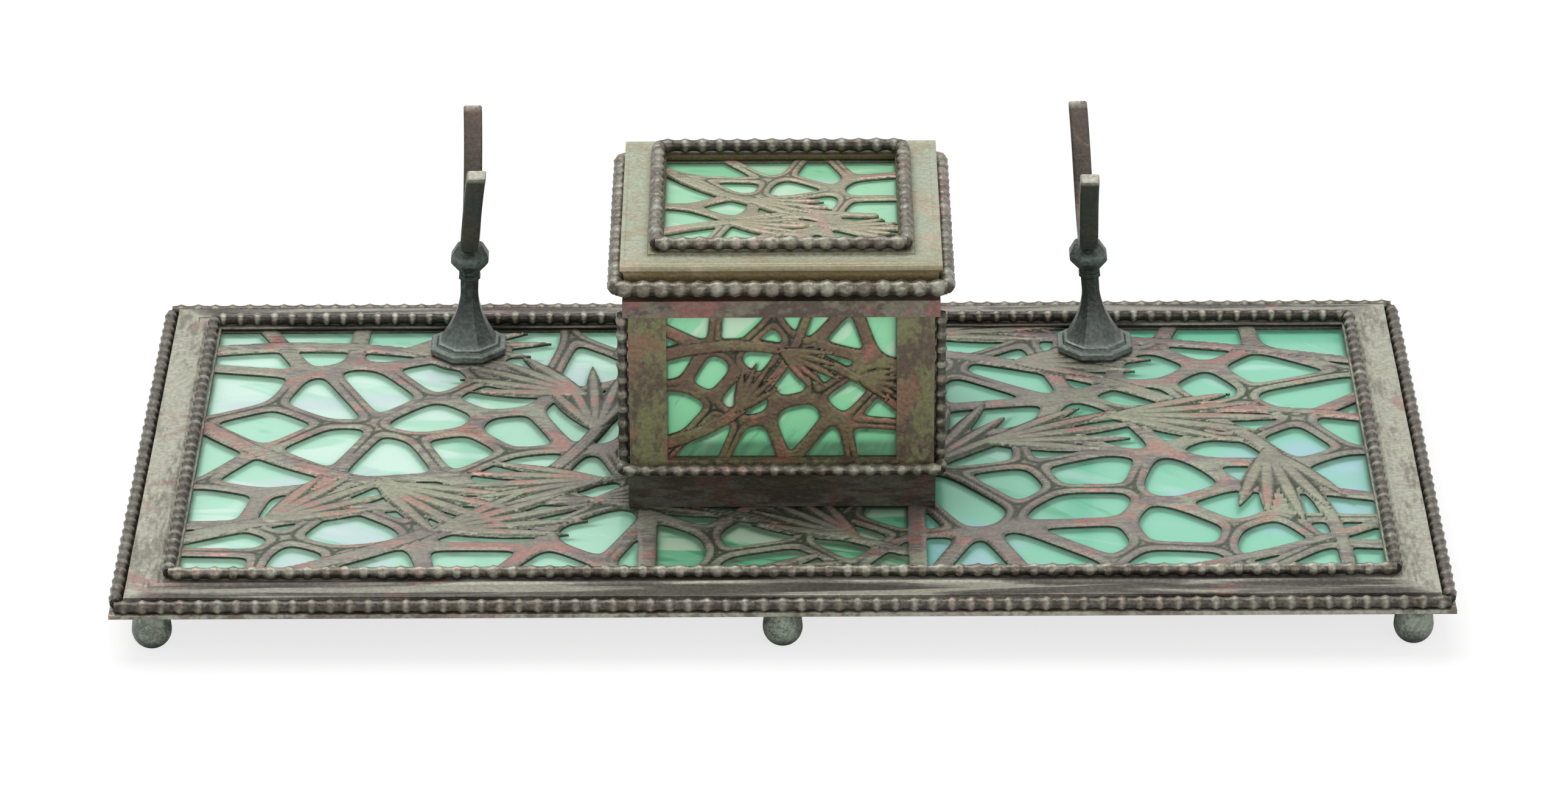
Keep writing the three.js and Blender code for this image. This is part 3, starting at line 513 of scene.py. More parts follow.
LID_BAR_BRONZE = Patina(
    "lid_bar_bronze",
    ground="8b8570",
    bloom="a1a28b",
    rub="b29084",
    shade="4c5642",
    cast="a79e84",
    patch_mm=11,
    bloom_cover=0.55,
    rub_cover=0.38,
    roughness=0.42,
    grain=(0.5, 1.8, 1.3),
)
INNER_STEEL = Patina(
    "inner_steel",
    ground="6d6962",
    bloom="7e7a70",
    rub="8b8176",
    shade="3a3733",
    roughness=0.4,
    metallic=0.8,
)

LEFT_TRAY_GLASS = StreakedGlass(
    "left_tray_glass",
    body="9ccfb6",
    white="c2ded1",
    cool="b5c8ca",
    deep="74b596",
    shade_and_dirt="54705d",
    turn=0.25,
    streak_mm=22,
    white_cover=0.42,
    cool_cover=0.3,
    deep_cover=0.14,
)
RIGHT_TRAY_GLASS = StreakedGlass(
    "right_tray_glass",
    body="78c0a3",
    white="a0cdbf",
    cool="92b8c6",
    deep="3f9f74",
    shade_and_dirt="3a5a4e",
    turn=0.5,
    streak_mm=34,
    white_cover=0.26,
    cool_cover=0.4,
    deep_cover=0.23,
)
MIDDLE_TRAY_GLASS = StreakedGlass(
    "middle_tray_glass",
    body="66a783",
    white="adbda6",
    cool="a2a28c",
    deep="2f7854",
    shade_and_dirt="3a4437",
    turn=0.1,
    streak_mm=15,
    white_cover=0.42,
    cool_cover=0.24,
    deep_cover=0.34,
)
BOX_GLASS = StreakedGlass(
    "box_glass",
    body="94e3ae",
    white="cbe9cc",
    cool="b8dcc4",
    deep="68bb89",
    shade_and_dirt="3c5a44",
    turn=0.8,
    streak_mm=12,
    white_cover=0.34,
    cool_cover=0.14,
    deep_cover=0.18,
    upright=True,
)
LID_GLASS = StreakedGlass(
    "lid_glass",
    body="88c49c",
    white="b0ccb4",
    cool="9dbdab",
    deep="5fa57d",
    shade_and_dirt="4d6b55",
    turn=0.2,
    streak_mm=13,
    white_cover=0.3,
    cool_cover=0.15,
    deep_cover=0.2,
)
LINER_GLASS = ClearGlass("liner_glass", "e3f1ea")


@dataclass
class Shell:
    """A surface under construction: its points, its faces, and numbers that each point carries."""

    points: np.ndarray
    faces: np.ndarray
    marks: dict[str, np.ndarray] = field(default_factory=dict)

    def __add__(self, other: Shell) -> Shell:
        """Put two surfaces into one mesh."""
        faces = np.concatenate([self.faces, other.faces + len(self.points)])
        marks = {name: np.concatenate([values, other.marks[name]]) for name, values in self.marks.items()}
        return Shell(np.concatenate([self.points, other.points]), faces, marks)

    def piece(
        self,
        name: str,
        finish: bpy.types.Material,
        body: Body,
        slot: Slot,
        replaced: list[str],
        crease: float = 40.0,
    ) -> bpy.types.Object:
        """Make the Blender object, seat it on its body and report it.

        Args:
            name: The piece's name.
            finish: Its material.
            body: The body that it moves with.
            slot: The record's slot that its finish comes from; not used.
            replaced: The solids that it stands for, if any.
            crease: The angle in degrees past which an edge stays sharp.

        Returns:
            The finished object.
        """
        mesh = bpy.data.meshes.new(name)
        mesh.from_pydata((self.points * MM).tolist(), [], self.faces.tolist())
        for mark, values in self.marks.items():
            mesh.attributes.new(mark, "FLOAT", "POINT").data.foreach_set("value", values.astype(np.float32))
        work = bmesh.new()
        work.from_mesh(mesh)
        bmesh.ops.remove_doubles(work, verts=work.verts, dist=1e-7)
        bmesh.ops.recalc_face_normals(work, faces=work.faces)
        work.to_mesh(mesh)
        work.free()
        mesh.polygons.foreach_set("use_smooth", np.ones(len(mesh.polygons), bool))
        mesh.set_sharp_from_angle(angle=math.radians(crease))
        mesh.materials.append(finish)
        made = bpy.data.objects.new(name, mesh)
        bpy.context.scene.collection.objects.link(made)
        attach(made, body.value)
        if replaced:
            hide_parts(*replaced)
        stands_for = ", ".join(replaced) or "no solid"
        LOG.info("%s: %d faces, stands for %s", name, len(mesh.polygons), stands_for)
        return made


def grid_faces(rows: int, columns: int, close_rows: bool = False, close_columns: bool = True) -> np.ndarray:
    """Four-cornered faces over a grid of points that is numbered row by row.

    Args:
        rows: Number of rows.
        columns: Number of points in a row.
        close_rows: Whether the last row joins the first.
        close_columns: Whether each row joins its own start.

    Returns:
        Point numbers, four to a face.
    """
    index = np.arange(rows * columns).reshape(rows, columns)
    if close_rows:
        index = np.vstack([index, index[:1]])
    if close_columns:
        index = np.hstack([index, index[:, :1]])
    return np.stack([index[:-1, :-1], index[:-1, 1:], index[1:, 1:], index[1:, :-1]], -1).reshape(-1, 4)


def soften(outline: np.ndarray, radius: float, steps: int = 3) -> np.ndarray:
    """Round every corner of a closed outline with a short parabola.

    Args:
        outline: Corners, one to a row.
        radius: How far along each side a corner is rounded, less where a side is short.
        steps: Points for each corner.

    Returns:
        The rounded outline's points.
    """
    before, after = np.roll(outline, 1, 0) - outline, np.roll(outline, -1, 0) - outline
    near, far = np.linalg.norm(before, axis=1, keepdims=True), np.linalg.norm(after, axis=1, keepdims=True)
    most = 0.45
    start = outline + before * np.minimum(radius / near, most)
    end = outline + after * np.minimum(radius / far, most)
    share = np.linspace(0, 1, steps)[None, :, None]
    curve = start[:, None] * (1 - share) ** 2 + outline[:, None] * 2 * share * (1 - share)
    return (curve + end[:, None] * share**2).reshape(-1, outline.shape[1])


def uneven(points: np.ndarray, depth: float, wave: float) -> np.ndarray:
    """Shift points by slow crossed waves, as on sheet that was cut and soldered by hand.

    Args:
        points: Places to shift.
        depth: The largest shift along an axis.
        wave: Length of the slowest wave.

    Returns:
        The shifted points.
    """
    turns = points * (2 * math.pi / wave)
    slow, quick = np.sin(turns[:, [1, 2, 0]] + 1.3) * 0.6, np.cos(turns[:, [2, 0, 1]] * 1.9)
    return points + depth / 2 * slow + depth / 2 * quick


def flat_grid(low: tuple, high: tuple, cell: float) -> tuple[np.ndarray, np.ndarray]:
    """Cover an oblong with cells of nearly one size.

    Args:
        low: Its lowest corner.
        high: Its highest corner.
        cell: Size of the cells.

    Returns:
        Points in x and y, row by row, and the faces between them.
    """
    columns, rows = round((high[0] - low[0]) / cell), round((high[1] - low[1]) / cell)
    along, back = np.linspace(low[0], high[0], columns + 1), np.linspace(low[1], high[1], rows + 1)
    y, x = np.meshgrid(back, along, indexing="ij")
    return np.stack([x.ravel(), y.ravel()], -1), grid_faces(rows + 1, columns + 1, close_columns=False)


def open_edges(faces: np.ndarray, count: int) -> np.ndarray:
    """Edges that only one face has.

    Args:
        faces: Point numbers, four to a face.
        count: Number of points.

    Returns:
        Point numbers, two to an edge.
    """
    edges = np.stack([faces, np.roll(faces, -1, 1)], -1).reshape(-1, 2)
    return edges[~np.isin(edges @ [count, 1], edges @ [1, count])]


def slab(
    flat: np.ndarray, faces: np.ndarray, rim: np.ndarray, top: np.ndarray | float, bottom: float
) -> Shell:
    """Give a flat sheet a top, an underside, and walls along its open edges.

    Args:
        flat: The sheet's points in x and y.
        faces: Its faces.
        rim: Its open edges.
        top: Height of the top, or of each of its points.
        bottom: Height of the underside.

    Returns:
        The closed slab, the top's points first.
    """
    count = len(flat)
    points = np.concatenate([np.insert(flat, 2, top, 1), np.insert(flat, 2, bottom, 1)])
    walls = np.stack([rim[:, 1], rim[:, 0], rim[:, 0] + count, rim[:, 1] + count], -1)
    return Shell(points, np.concatenate([faces, faces[:, ::-1] + count, walls]))


def ring_sweep(
    profile: np.ndarray, half_x: float, half_y: float, centre_y: float = 0.0, steps: int = 24
) -> Shell:
    """Carry a closed profile round a rectangle, mitred at its corners.

    A point that stands out from the rectangle by some distance runs round a rectangle that is
    larger by that distance on each side.

    Args:
        profile: Points of distance outwards and height.
        half_x: Half the rectangle's length.
        half_y: Half its depth.
        centre_y: Its middle in y.
        steps: Stretches on each side.

    Returns:
        The swept surface.
    """
    signs = np.array([[-1, -1], [1, -1], [1, 1], [-1, 1]])
    corners = signs[:, None] * (np.array([half_x, half_y]) + profile[None, :, :1])
    share = (np.arange(steps) / steps)[None, :, None, None]
    flat = corners[:, None] * (1 - share) + np.roll(corners, -1, 0)[:, None] * share
    flat = flat.reshape(4 * steps, len(profile), 2) + [0, centre_y]
    heights = np.broadcast_to(profile[None, :, 1:], (*flat.shape[:2], 1))
    points = np.concatenate([flat, heights], -1).reshape(-1, 3)
    return Shell(points, grid_faces(4 * steps, len(profile), close_rows=True))


def lathe(profile: np.ndarray, centre: tuple, sides: int = 48, facets: float = 0.0) -> Shell:
    """Turn a profile about an upright axis, drawn in between eight edges where it is facetted.

    One of the eight flats faces each of the four sides of the object.

    Args:
        profile: Points of radius and height, from the axis at the bottom to the axis at the top.
        centre: Where the axis meets height 0.
        sides: Points round the axis.
        facets: From 0, round, to 1, eight flats.

    Returns:
        The turned surface.
    """
    angles = np.arange(sides) * (2 * math.pi / sides)
    eighth = math.pi / 4
    flats = math.cos(eighth / 2) / np.cos(np.mod(angles, eighth) - eighth / 2)
    reach = profile[:, :1] * (1 - facets + facets * flats)
    angles = angles + eighth / 2
    height = np.broadcast_to(profile[:, 1:], reach.shape)
    points = np.stack([reach * np.cos(angles), reach * np.sin(angles), height], -1)
    return Shell(points.reshape(-1, 3) + centre, grid_faces(len(profile), sides))


def bead_string(start: tuple, end: tuple, diameter: float, pitch: float, seed: int) -> Shell:
    """Round beads on a wire between two points.

    Along the string the radius is that of a sphere about the nearest bead's middle, and never
    less than the wire's. Each bead is a little larger or smaller than its neighbours. Painted
    shade lies on the wire between beads, most on its underside.

    Args:
        start: Where the string starts.
        end: Where it ends.
        diameter: A bead's diameter.
        pitch: Distance from bead to bead, fitted to the length.
        seed: Where the random sizes start.

    Returns:
        The string, with each point's marks.
    """
    first, last = np.array(start, float), np.array(end, float)
    length = float(np.linalg.norm(last - first))
    count = max(1, round(length / pitch))
    chance = np.random.default_rng(seed)
    sizes = diameter / 2 * (1 - 0.05 * chance.random(count))
    within = np.array([0.0, 0.1, 0.26, 0.5, 0.74, 0.9])
    along = (np.arange(count)[:, None] + within) / count
    spread = (within - 0.5) * length / count
    reach = np.sqrt(np.maximum(sizes[:, None] ** 2 - spread**2, (BEAD_WIRE_SHARE * sizes[:, None]) ** 2))
    along = np.concatenate([[0], along.ravel(), [1, 1]])
    reach = np.concatenate([[0], reach.ravel(), [reach[0, 0], 0]])
    low = np.clip((0.97 - reach / (diameter / 2)) / (0.97 - BEAD_WIRE_SHARE), 0, 1)
    tone = np.concatenate([[0.5], np.repeat(chance.random(count), len(within)), [0.5, 0.5]])
    axis = (last - first) / length
    side = np.cross(axis, [0, 0, 1] if abs(axis[2]) < 0.9 else [0, 1, 0])
    side /= np.linalg.norm(side)
    up = np.cross(side, axis)
    angles = np.arange(BEAD_SIDES) * (2 * math.pi / BEAD_SIDES) + 0.3
    round_axis = np.cos(angles)[:, None] * side + np.sin(angles)[:, None] * up
    points = first + (last - first) * along[:, None, None] + reach[:, None, None] * round_axis
    under = np.sqrt(np.clip(1 - round_axis[:, 2], 0, 2) / 2)
    # Painted shade at the necks between beads, most on the underside.
    low = 0.9 * low[:, None] * (0.55 + 0.45 * under)
    marks = {"low": low.ravel(), "tone": np.repeat(tone, BEAD_SIDES)}
    return Shell(points.reshape(-1, 3), grid_faces(len(along), BEAD_SIDES), marks)


def bead_loop(
    half: float, centre_y: float, height: float, diameter: float, pitch: float, seed: int
) -> Shell:
    """Bead strings along the four sides of a square.

    Args:
        half: Half the square's side.
        centre_y: Its middle in y.
        height: Height of the beads' middles.
        diameter: A bead's diameter.
        pitch: Distance from bead to bead.
        seed: Where the random sizes start.

    Returns:
        The four strings in one surface.
    """
    signs = ((-1, -1), (1, -1), (1, 1), (-1, 1))
    corners = [(x * half, y * half + centre_y, height) for x, y in signs]
    sides = enumerate(zip(corners, corners[1:] + corners[:1]))
    runs = [bead_string(start, end, diameter, pitch, seed + number) for number, (start, end) in sides]
    return runs[0] + runs[1] + runs[2] + runs[3]


def soft_least(first: np.ndarray, second: np.ndarray, blend: float) -> np.ndarray:
    """The lesser of two fields, with a fillet of width blend where they are nearly equal."""
    share = np.clip(0.5 + (second - first) / (2 * blend), 0, 1)
    return second * (1 - share) + first * share - blend * share * (1 - share)


@dataclass(frozen=True)
class Growth:
    """Stems and leaf sprays that lie over a network of bars.

    A stem is start x and y and end x and y as shares of the opening, then bow as a share of its
    length. A spray is the number of its stem, its place along it, its turn from it in degrees, and
    its length as a share of the longest.
    """

    stems: tuple[tuple[float, ...], ...]
    sprays: tuple[tuple[float, ...], ...]
    stem_width: float
    spray_length: float
    blade_width: float
    blades: int = 5
    blade_turn: float = 12.0
    shorten: float = 0.12


@dataclass(frozen=True)
class Pattern:
    """Pierced sheet: bars between rounded openings, with bowed stems and leaf sprays across them."""

    width: float
    depth: float
    open_width: float
    open_depth: float
    pitch: tuple[float, float]
    bar: float
    phase: float
    growth: Growth
    cell: float
    thickness: float = 1.0
    pads: tuple[tuple[float, float, float], ...] = ()
    block: float = 0.0
    block_y: float = 0.0
    seams: tuple[float, ...] = ()
    rim_light_reach: float = 0.7

    def centres(self) -> np.ndarray:
        """Centres of the openings: brick rows, nudged by slow waves, one left out here and there."""
        columns, rows = round(self.open_width / self.pitch[0]), round(self.open_depth / self.pitch[1])
        row, column = np.mgrid[0:rows, 0:columns]
        across = np.sin(self.phase + 2.4 * column + 4.1 * row)
        along = np.cos(1.7 * self.phase + 3.7 * column + 1.9 * row)
        brick = np.where(row % 2 == 1, 0.2, -0.2)
        x = ((column + 0.5 + brick + 0.24 * across) / columns - 0.5) * self.open_width
        y = ((row + 0.5 + 0.24 * along) / rows - 0.5) * self.open_depth
        kept = np.sin(self.phase + 5.3 * column + 2.9 * row) <= 0.8
        return np.stack([x[kept], y[kept]], -1)

    def network(self, places: np.ndarray) -> np.ndarray:
        """Distance from each place to the nearest bar's edge, below 0 on a bar.

        The bars follow the lines midway between neighbouring centres. A soft least over the
        distances to these lines rounds the corners of the openings.
        """
        centres, every = self.centres(), np.arange(len(places))
        squares = ((places[:, None] - centres[None]) ** 2).sum(-1)
        own = squares.argmin(1)
        gaps = np.linalg.norm(centres[None] - centres[own][:, None], axis=-1)
        with np.errstate(divide="ignore", invalid="ignore"):
            lines = (squares - squares[every, own][:, None]) / (2 * gaps)
        lines[every, own] = np.inf
        corner = 0.08 * min(self.pitch)
        least = lines.min(1)
        return least - corner * np.log(np.exp(-(lines - least[:, None]) / corner).sum(1)) - self.bar / 2

    def stem_line(self, number: int, steps: int) -> tuple[np.ndarray, np.ndarray, np.ndarray]:
        """Points, angles and shares along one stem: a chord with a parabola's bow to its left."""
        x0, y0, x1, y1, bow = self.growth.stems[number]
        start = np.array([(x0 - 0.5) * self.open_width, (y0 - 0.5) * self.open_depth])
        chord = np.array([(x1 - 0.5) * self.open_width, (y1 - 0.5) * self.open_depth]) - start
        left = np.array([-chord[1], chord[0]])
        share = np.linspace(0, 1, steps)[:, None]
        line = start + chord * share + left * (4 * bow * share * (1 - share))
        slope = chord + left * (4 * bow * (1 - 2 * share))
        return line, np.arctan2(slope[:, 1], slope[:, 0]), share[:, 0]

    def stems(self, places: np.ndarray) -> np.ndarray:
        """Distance to the nearest stem's edge; a stem narrows by a third towards its end."""
        least = np.full(len(places), FAR_AWAY)
        for number in range(len(self.growth.stems)):
            line, _, share = self.stem_line(number, 25)
            start, run = line[:-1], np.diff(line, axis=0)
            offset = places[:, None] - start[None]
            along = np.clip((offset * run).sum(-1) / (run**2).sum(-1), 0, 1)
            away = np.linalg.norm(offset - along[..., None] * run, axis=-1)
            half = self.growth.stem_width * (1 - 0.35 * (share[:-1] + along * np.diff(share))) / 2
            least = np.minimum(least, (away - half).min(1))
        return least

    def blades(self, places: np.ndarray) -> tuple[np.ndarray, np.ndarray]:
        """Distance to the nearest leaf's edge, and how high each place stands on its leaf.

        A leaf is the lens where two circles of one radius overlap. The leaves of a spray fan out
        from one place on their stem, and the outer ones are shorter. The height is 1 on a leaf's
        midrib and 0 at its edge, so that a groove runs between leaves that overlap.
        """
        growth, steps, thin = self.growth, 100, 0.05
        least, high = np.full(len(places), FAR_AWAY), np.zeros(len(places))
        for number, place, turn, share in growth.sprays:
            line, angle, _ = self.stem_line(int(number), steps + 1)
            root, heading = line[round(place * steps)], angle[round(place * steps)]
            for blade in range(growth.blades):
                away = blade - (growth.blades - 1) / 2
                grown = growth.spray_length * share * (1 - growth.shorten * abs(away))
                pointing = heading + math.radians(turn + away * growth.blade_turn)
                ahead = np.array([math.cos(pointing), math.sin(pointing)])
                offset = places - root - ahead * grown * 0.5
                along, across = offset @ ahead, np.abs(offset @ np.array([-ahead[1], ahead[0]]))
                radius = (grown**2 + growth.blade_width**2) / (4 * growth.blade_width)
                sunk = radius - growth.blade_width / 2
                least = np.minimum(least, np.hypot(along, across + sunk) - radius)
                half = np.sqrt(np.maximum(radius**2 - along**2, 0)) - sunk
                high = np.maximum(high, np.where(half > thin, 1 - across / np.maximum(half, thin), 0))
        return least, high

    def plates(self, places: np.ndarray) -> np.ndarray:
        """Distance to the nearest solid place: pads, the square under the box, bars over seams."""
        x, y = places[:, 0], places[:, 1]
        least = np.full(len(places), FAR_AWAY)
        for pad_x, pad_y, radius in self.pads:
            least = np.minimum(least, np.hypot(x - pad_x, y - pad_y) - radius)
        if self.block:
            least = np.minimum(least, np.maximum(np.abs(x), np.abs(y - self.block_y)) - self.block / 2)
        for seam in self.seams:
            least = np.minimum(least, np.abs(x - seam) - self.bar / 2)
        return least

    def border(self, places: np.ndarray) -> np.ndarray:
        """Distance to the solid border round the pattern, below 0 on it."""
        x, y = np.abs(places[:, 0]), np.abs(places[:, 1])
        return np.minimum(self.open_width / 2 - x, self.open_depth / 2 - y)

    def edge(self, places: np.ndarray) -> np.ndarray:
        """Distance to the edge of the metal, below 0 on it, with fillets where its parts meet."""
        metal = soft_least(self.network(places), self.stems(places), 0.3 * self.bar)
        metal = soft_least(metal, self.blades(places)[0], 0.12 * self.bar)
        return np.minimum(soft_least(metal, self.plates(places), 0.25 * self.bar), self.border(places))

    def shell(self, low_x: float, high_x: float) -> Shell:
        """Build the part of the sheet between two places in x, from z = 0 up.

        Cells of a grid whose middle lies on metal are kept. Points on the rim of the kept part
        are moved along the field's slope on to the metal's edge. The top is a dome over each bar,
        stem and leaf, whose height grows with the distance from its edge. Walls and an underside
        close it.

        Args:
            low_x: Where this part begins.
            high_x: Where it ends.

        Returns:
            The closed sheet, with each point's marks.
        """
        half, step, slack = self.depth / 2, 0.02, 1e-6
        places, quads = flat_grid((low_x, -half), (high_x, half), self.cell)
        kept = quads[self.edge(places[quads].mean(1)) < 0]
        rim = open_edges(kept, len(places))
        moving = np.unique(rim)
        inner = (places[moving, 0] > low_x + slack) & (places[moving, 0] < high_x - slack)
        moving = moving[inner & (np.abs(places[moving, 1]) < half - slack)]
        for _ in range(3):
            here = places[moving]
            level = self.edge(here)
            beside, behind = self.edge(here + [step, 0]), self.edge(here + [0, step])
            slope = np.stack([beside - level, behind - level], -1) / step
            shift = -slope * (level / np.maximum((slope**2).sum(1), 0.25))[:, None]
            places[moving] = here + np.clip(shift, -0.6 * self.cell, 0.6 * self.cell)
        used = np.unique(kept)
        number = np.zeros(len(places), int)
        number[used] = np.arange(len(used))
        return self.thickened(places[used], number[kept], number[rim])

    def thickened(self, flat: np.ndarray, kept: np.ndarray, rim: np.ndarray) -> Shell:
        """Give a flat sheet its domed top, its walls and its underside.

        The crown is 0 at the foot of a dome and 1 on top. Here and there a groove runs along the
        middle of a bar, and one runs along each stem on both sides. Painted shade darkens the feet of
        the domes, the grooves, the walls and the underside, less along the metal's edges, whose rims
        thus read as lit.

        Args:
            flat: The sheet's points.
            kept: Its faces.
            rim: The edges that have a face on one side only.

        Returns:
            The closed sheet, with each point's marks.
        """
        x, y = flat.T
        share = np.clip(-self.network(flat) / (0.5 * self.bar), 0, 2)
        twin = 0.5 + 0.9 * np.sin(x / (0.9 * self.pitch[0]) + 2.2 * np.sin(y / (0.8 * self.pitch[1])))
        groove = np.clip(2 * share - 0.9, 0, 1) * np.cos(math.pi * (share - 1)) ** 2
        bars = np.clip(2.3 * share, 0, 1) - np.clip(twin, 0, 0.95) * groove
        stem, plate, stem_width = self.stems(flat), self.plates(flat), self.growth.stem_width
        leaf, ridge = self.blades(flat)
        on_stem, on_leaf, on_plate = stem < 0, leaf < 0, plate < 0
        groove = 0.3 * np.exp(-(((-stem - 0.3 * stem_width) / (0.07 * stem_width)) ** 2))
        crown = np.where(on_stem, np.clip(-stem / (0.2 * stem_width), 0, 1) - groove, bars)
        crown = np.clip(np.where(on_leaf, 1.7 * ridge - 0.25, crown), 0, 1)
        base = np.where(on_leaf, 0.4, np.where(on_stem, 0.55, 0.5))
        height = base + (np.where(on_leaf | on_stem, 0.97, 0.8) - base) * np.sqrt(1 - (1 - crown) ** 2)
        height = np.where(on_plate, np.maximum(height, np.clip(0.8 - plate * 0.25, 0.8, 1)), height)
        crown = np.where((on_plate & ~on_leaf) | (self.border(flat) < 0), 1, crown)
        # Painted highlight on the rims: the painted shade is lessened near the metal's edges.
        nearness = np.clip(1 + self.edge(flat) / self.rim_light_reach, 0, 1)
        tone = 0.5 + 0.5 * np.sin(x / (1.3 * self.pitch[0]) + 2 * np.cos(y / self.pitch[0]))
        shell = slab(flat, kept, rim, height * self.thickness, 0)
        # Painted shade from the crown on the top; the walls and underside take nearly full painted shade.
        shell.marks = {
            "low": np.concatenate([(1 - crown) ** 0.66 * (1 - 0.45 * nearness), np.full(len(flat), 0.95)]),
            "tone": np.tile(tone, 2),
            "cast": np.concatenate([np.where(on_leaf, 0.6, 0) * crown, np.zeros(len(flat))]),
        }
        return shell

    def near(self, places: np.ndarray, reach: float) -> np.ndarray:
        """How near the glass lies to metal, 1 against it and as far as reach in front of a bar: where the
        metal's painted shadow and its dirt lie.
        """
        return np.exp(-np.clip(self.edge(places + [0, reach]), 0, None) / reach)


def pane(
    low: np.ndarray, high: np.ndarray, cell: float, pattern: Pattern, reach: float, middle: tuple = (0, 0)
) -> Shell:
    """Slab of glass between two corners, lying flat under a pierced sheet.

    Args:
        low: Lowest corner.
        high: Highest corner.
        cell: Size of the cells of its top and bottom.
        pattern: The sheet over it.
        reach: How far the sheet's dirt and shade reach on it.
        middle: The sheet's middle in x and y.

    Returns:
        The closed slab, with the mark near.
    """
    flat, quads = flat_grid(low, high, cell)
    shell = slab(flat, quads, open_edges(quads, len(flat)), high[2], low[2])
    shell.marks["near"] = np.tile(pattern.near(flat - middle, reach), 2)
    return shell


TRAY_GROWTH = Growth(
    stems=(
        (0.0, 0.16, 0.6, 0.1, 0.14),
        (0.06, 0.0, 0.37, 0.94, -0.16),
        (0.0, 0.6, 0.38, 0.4, -0.18),
        (0.0, 0.92, 0.36, 0.66, 0.14),
        (0.4, 0.02, 1.0, 0.2, -0.12),
        (0.62, 0.9, 0.97, 0.0, 0.2),
        (0.6, 0.38, 1.0, 0.62, 0.16),
        (0.36, 0.9, 1.0, 0.86, 0.07),
    ),
    sprays=(
        (0, 0.1, 18, 0.85),
        (0, 0.55, 16, 1.0),
        (1, 0.28, -20, 0.95),
        (1, 0.7, 22, 0.85),
        (2, 0.45, -18, 1.0),
        (3, 0.4, 20, 0.85),
        (4, 0.35, -16, 1.0),
        (5, 0.12, 24, 0.8),
        (5, 0.6, -20, 0.95),
        (6, 0.5, -18, 1.0),
        (7, 0.4, 18, 0.95),
        (0, 0.94, 166, 0.8),
        (4, 0.08, 20, 0.8),
        (2, 0.94, 168, 0.9),
        (3, 0.9, -166, 0.85),
        (6, 0.06, 20, 0.9),
        (6, 0.22, -20, 0.9),
    ),
    stem_width=5.2,
    spray_length=44,
    blade_width=4.4,
)
BOX_GROWTH = Growth(
    stems=((0.0, 0.1, 0.62, 1.0, -0.14), (0.0, 0.7, 1.0, 0.34, 0.14)),
    sprays=((0, 0.35, 20, 0.9), (1, 0.45, -18, 1.0), (1, 0.8, 20, 0.75)),
    stem_width=3.4,
    spray_length=17,
    blade_width=2.0,
)
LID_GROWTH = Growth(
    stems=((0.0, 0.24, 1.0, 0.1, 0.16), (0.0, 0.9, 0.9, 0.4, -0.12)),
    sprays=((0, 0.25, -16, 1.0), (0, 0.7, 18, 0.85), (1, 0.45, 18, 1.0)),
    stem_width=3.4,
    spray_length=21,
    blade_width=2.4,
)


def corners_of(node: str) -> tuple[np.ndarray, np.ndarray]:
    """Lowest and highest corner of a solid, in millimetres."""
    low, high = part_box(node)
    return np.array(low) / MM, np.array(high) / MM


def dress(frame: dict, finish: bpy.types.Material, nodes: list[str]) -> None:
    """Give solids that show as they are their material.

    Args:
        frame: The loaded frame.
        finish: The material.
        nodes: Names of the solids.
    """
    for name in nodes:
        materials = frame["nodes"][name].data.materials
        materials.clear()
        materials.append(finish)
        LOG.info("%s keeps its solid, in %s", name, finish.name)


